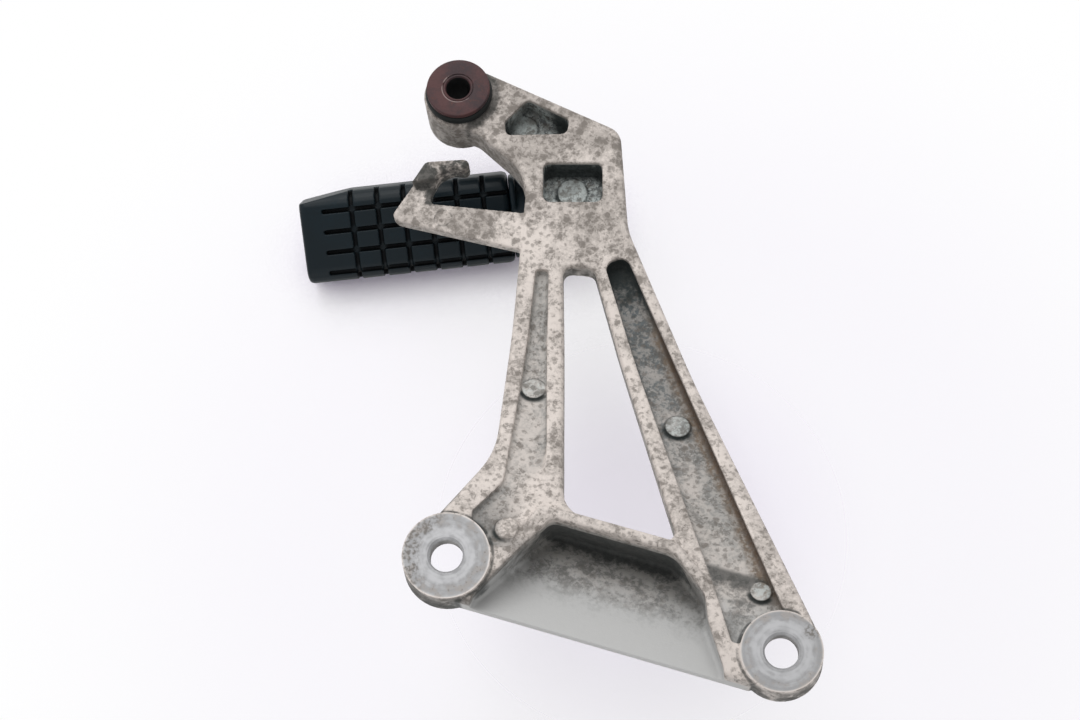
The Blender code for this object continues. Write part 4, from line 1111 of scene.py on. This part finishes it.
class FOOTREST_OT_stage(Operator):
    """Make the floor, the soft lights and the camera"""

    bl_idname = "footrest.stage"
    bl_label = "Stage"

    camera_place = (0.10693, -0.14262, 0.60288)
    camera_right = (0.9549, 0.2926, -0.0513)
    camera_up = (-0.2558, 0.8977, 0.3588)
    sensor = 36.0
    nearest = 0.01
    furthest = 20.0
    floor_middle = (0.050, 0.045)
    floor_reach = 4.0
    floor_gap = 0.0005
    # Where the softboxes point, then each one's name, place, size and the setting of its power
    aim = Vector((0.0, 0.08, -0.03))
    softboxes = (
        ("key_softbox", (-0.35, 0.72, 0.85), 0.9, "key"),
        ("left_softbox", (-1.0, -0.1, 0.45), 0.8, "fill"),
        ("near_softbox", (0.25, -1.0, 0.22), 0.8, "near"),
    )

    def execute(self, context):
        looks = context.scene.footrest_stage
        scene = context.scene
        scene.view_settings.view_transform = "Standard"
        self.make_floor(looks)
        self.make_world(scene, looks)
        for name, place, size, setting in self.softboxes:
            self.make_softbox(name, place, size, getattr(looks, setting))
        self.make_camera(scene, looks)
        return {"FINISHED"}

    def make_floor(self, looks):
        """A wide floor just below the lowest point of the folded model."""
        bm = bmesh.new()
        bmesh.ops.create_grid(bm, x_segments=2, y_segments=2, size=self.floor_reach)
        floor = linked("floor", mesh_from(bm, "floor"))
        floor.location = (*self.floor_middle, CAD_BOX[0].z - self.floor_gap)
        floor.data.materials.append(floor_finish(looks))

    def make_world(self, scene, looks):
        """White where the camera, a reflection or a view through glass meets it, and dimmer as a light."""
        scene.world = bpy.data.worlds.new("studio")
        paint = Paint(scene.world)
        background = paint.nodes["Background"]
        paint.fill(background.inputs["Color"], (1.0, 1.0, 1.0, 1.0))
        paint.fill(background.inputs["Strength"], looks.ambient + paint.seen() * (1.0 - looks.ambient))

    def make_softbox(self, name, place, size, watts):
        """A square soft light that points at the piece."""
        light = bpy.data.lights.new(name, "AREA")
        light.size = size
        light.energy = watts
        lamp = linked(name, light)
        lamp.location = place
        lamp.rotation_mode = "QUATERNION"
        lamp.rotation_quaternion = (self.aim - Vector(place)).to_track_quat("-Z", "Y")

    def make_camera(self, scene, looks):
        """The camera, which looks at the piece's inner side."""
        lens = bpy.data.cameras.new("camera")
        lens.lens = looks.lens
        lens.sensor_width = self.sensor
        lens.clip_start = self.nearest
        lens.clip_end = self.furthest
        camera = linked("camera", lens)
        right = Vector(self.camera_right).normalized()
        back = right.cross(Vector(self.camera_up)).normalized()
        up = back.cross(right)
        turn = Matrix((right, up, back)).transposed().to_4x4()
        camera.matrix_world = Matrix.Translation(self.camera_place) @ turn
        scene.camera = camera


OPERATORS = (
    FOOTREST_OT_casting,
    FOOTREST_OT_bush,
    FOOTREST_OT_tread,
    FOOTREST_OT_arm,
    FOOTREST_OT_fasteners,
    FOOTREST_OT_stage,
)

GROUPS = {
    "footrest_casting": CastingLooks,
    "footrest_steel": SteelLooks,
    "footrest_rubber": RubberLooks,
    "footrest_stage": StageLooks,
}


class FOOTREST_PT_looks(Panel):
    """Lists the footrest's pieces and their finishes"""

    bl_label = "Footrest hanger"
    bl_space_type = "VIEW_3D"
    bl_region_type = "UI"
    bl_category = "Footrest"

    def draw(self, context):
        for operator in OPERATORS:
            self.layout.operator(operator.bl_idname)
        for name in GROUPS:
            box = self.layout.box()
            settings = getattr(context.scene, name)
            for key in settings.__annotations__:
                box.prop(settings, key)


def register():
    for group in GROUPS.values():
        bpy.utils.register_class(group)
    for name, group in GROUPS.items():
        setattr(bpy.types.Scene, name, PointerProperty(type=group))
    for operator in OPERATORS:
        bpy.utils.register_class(operator)
    bpy.utils.register_class(FOOTREST_PT_looks)


def unregister():
    bpy.utils.unregister_class(FOOTREST_PT_looks)
    for operator in reversed(OPERATORS):
        bpy.utils.unregister_class(operator)
    for name, group in GROUPS.items():
        delattr(bpy.types.Scene, name)
        bpy.utils.unregister_class(group)


def corners(box):
    """A box's two corners as plain lists."""
    return [list(corner) for corner in box]


def main():
    register()
    bpy.ops.footrest.casting()
    bpy.ops.footrest.bush()
    bpy.ops.footrest.tread()
    bpy.ops.footrest.arm()
    bpy.ops.footrest.fasteners()
    bpy.ops.footrest.stage()


if __name__ == "__main__":
    main()
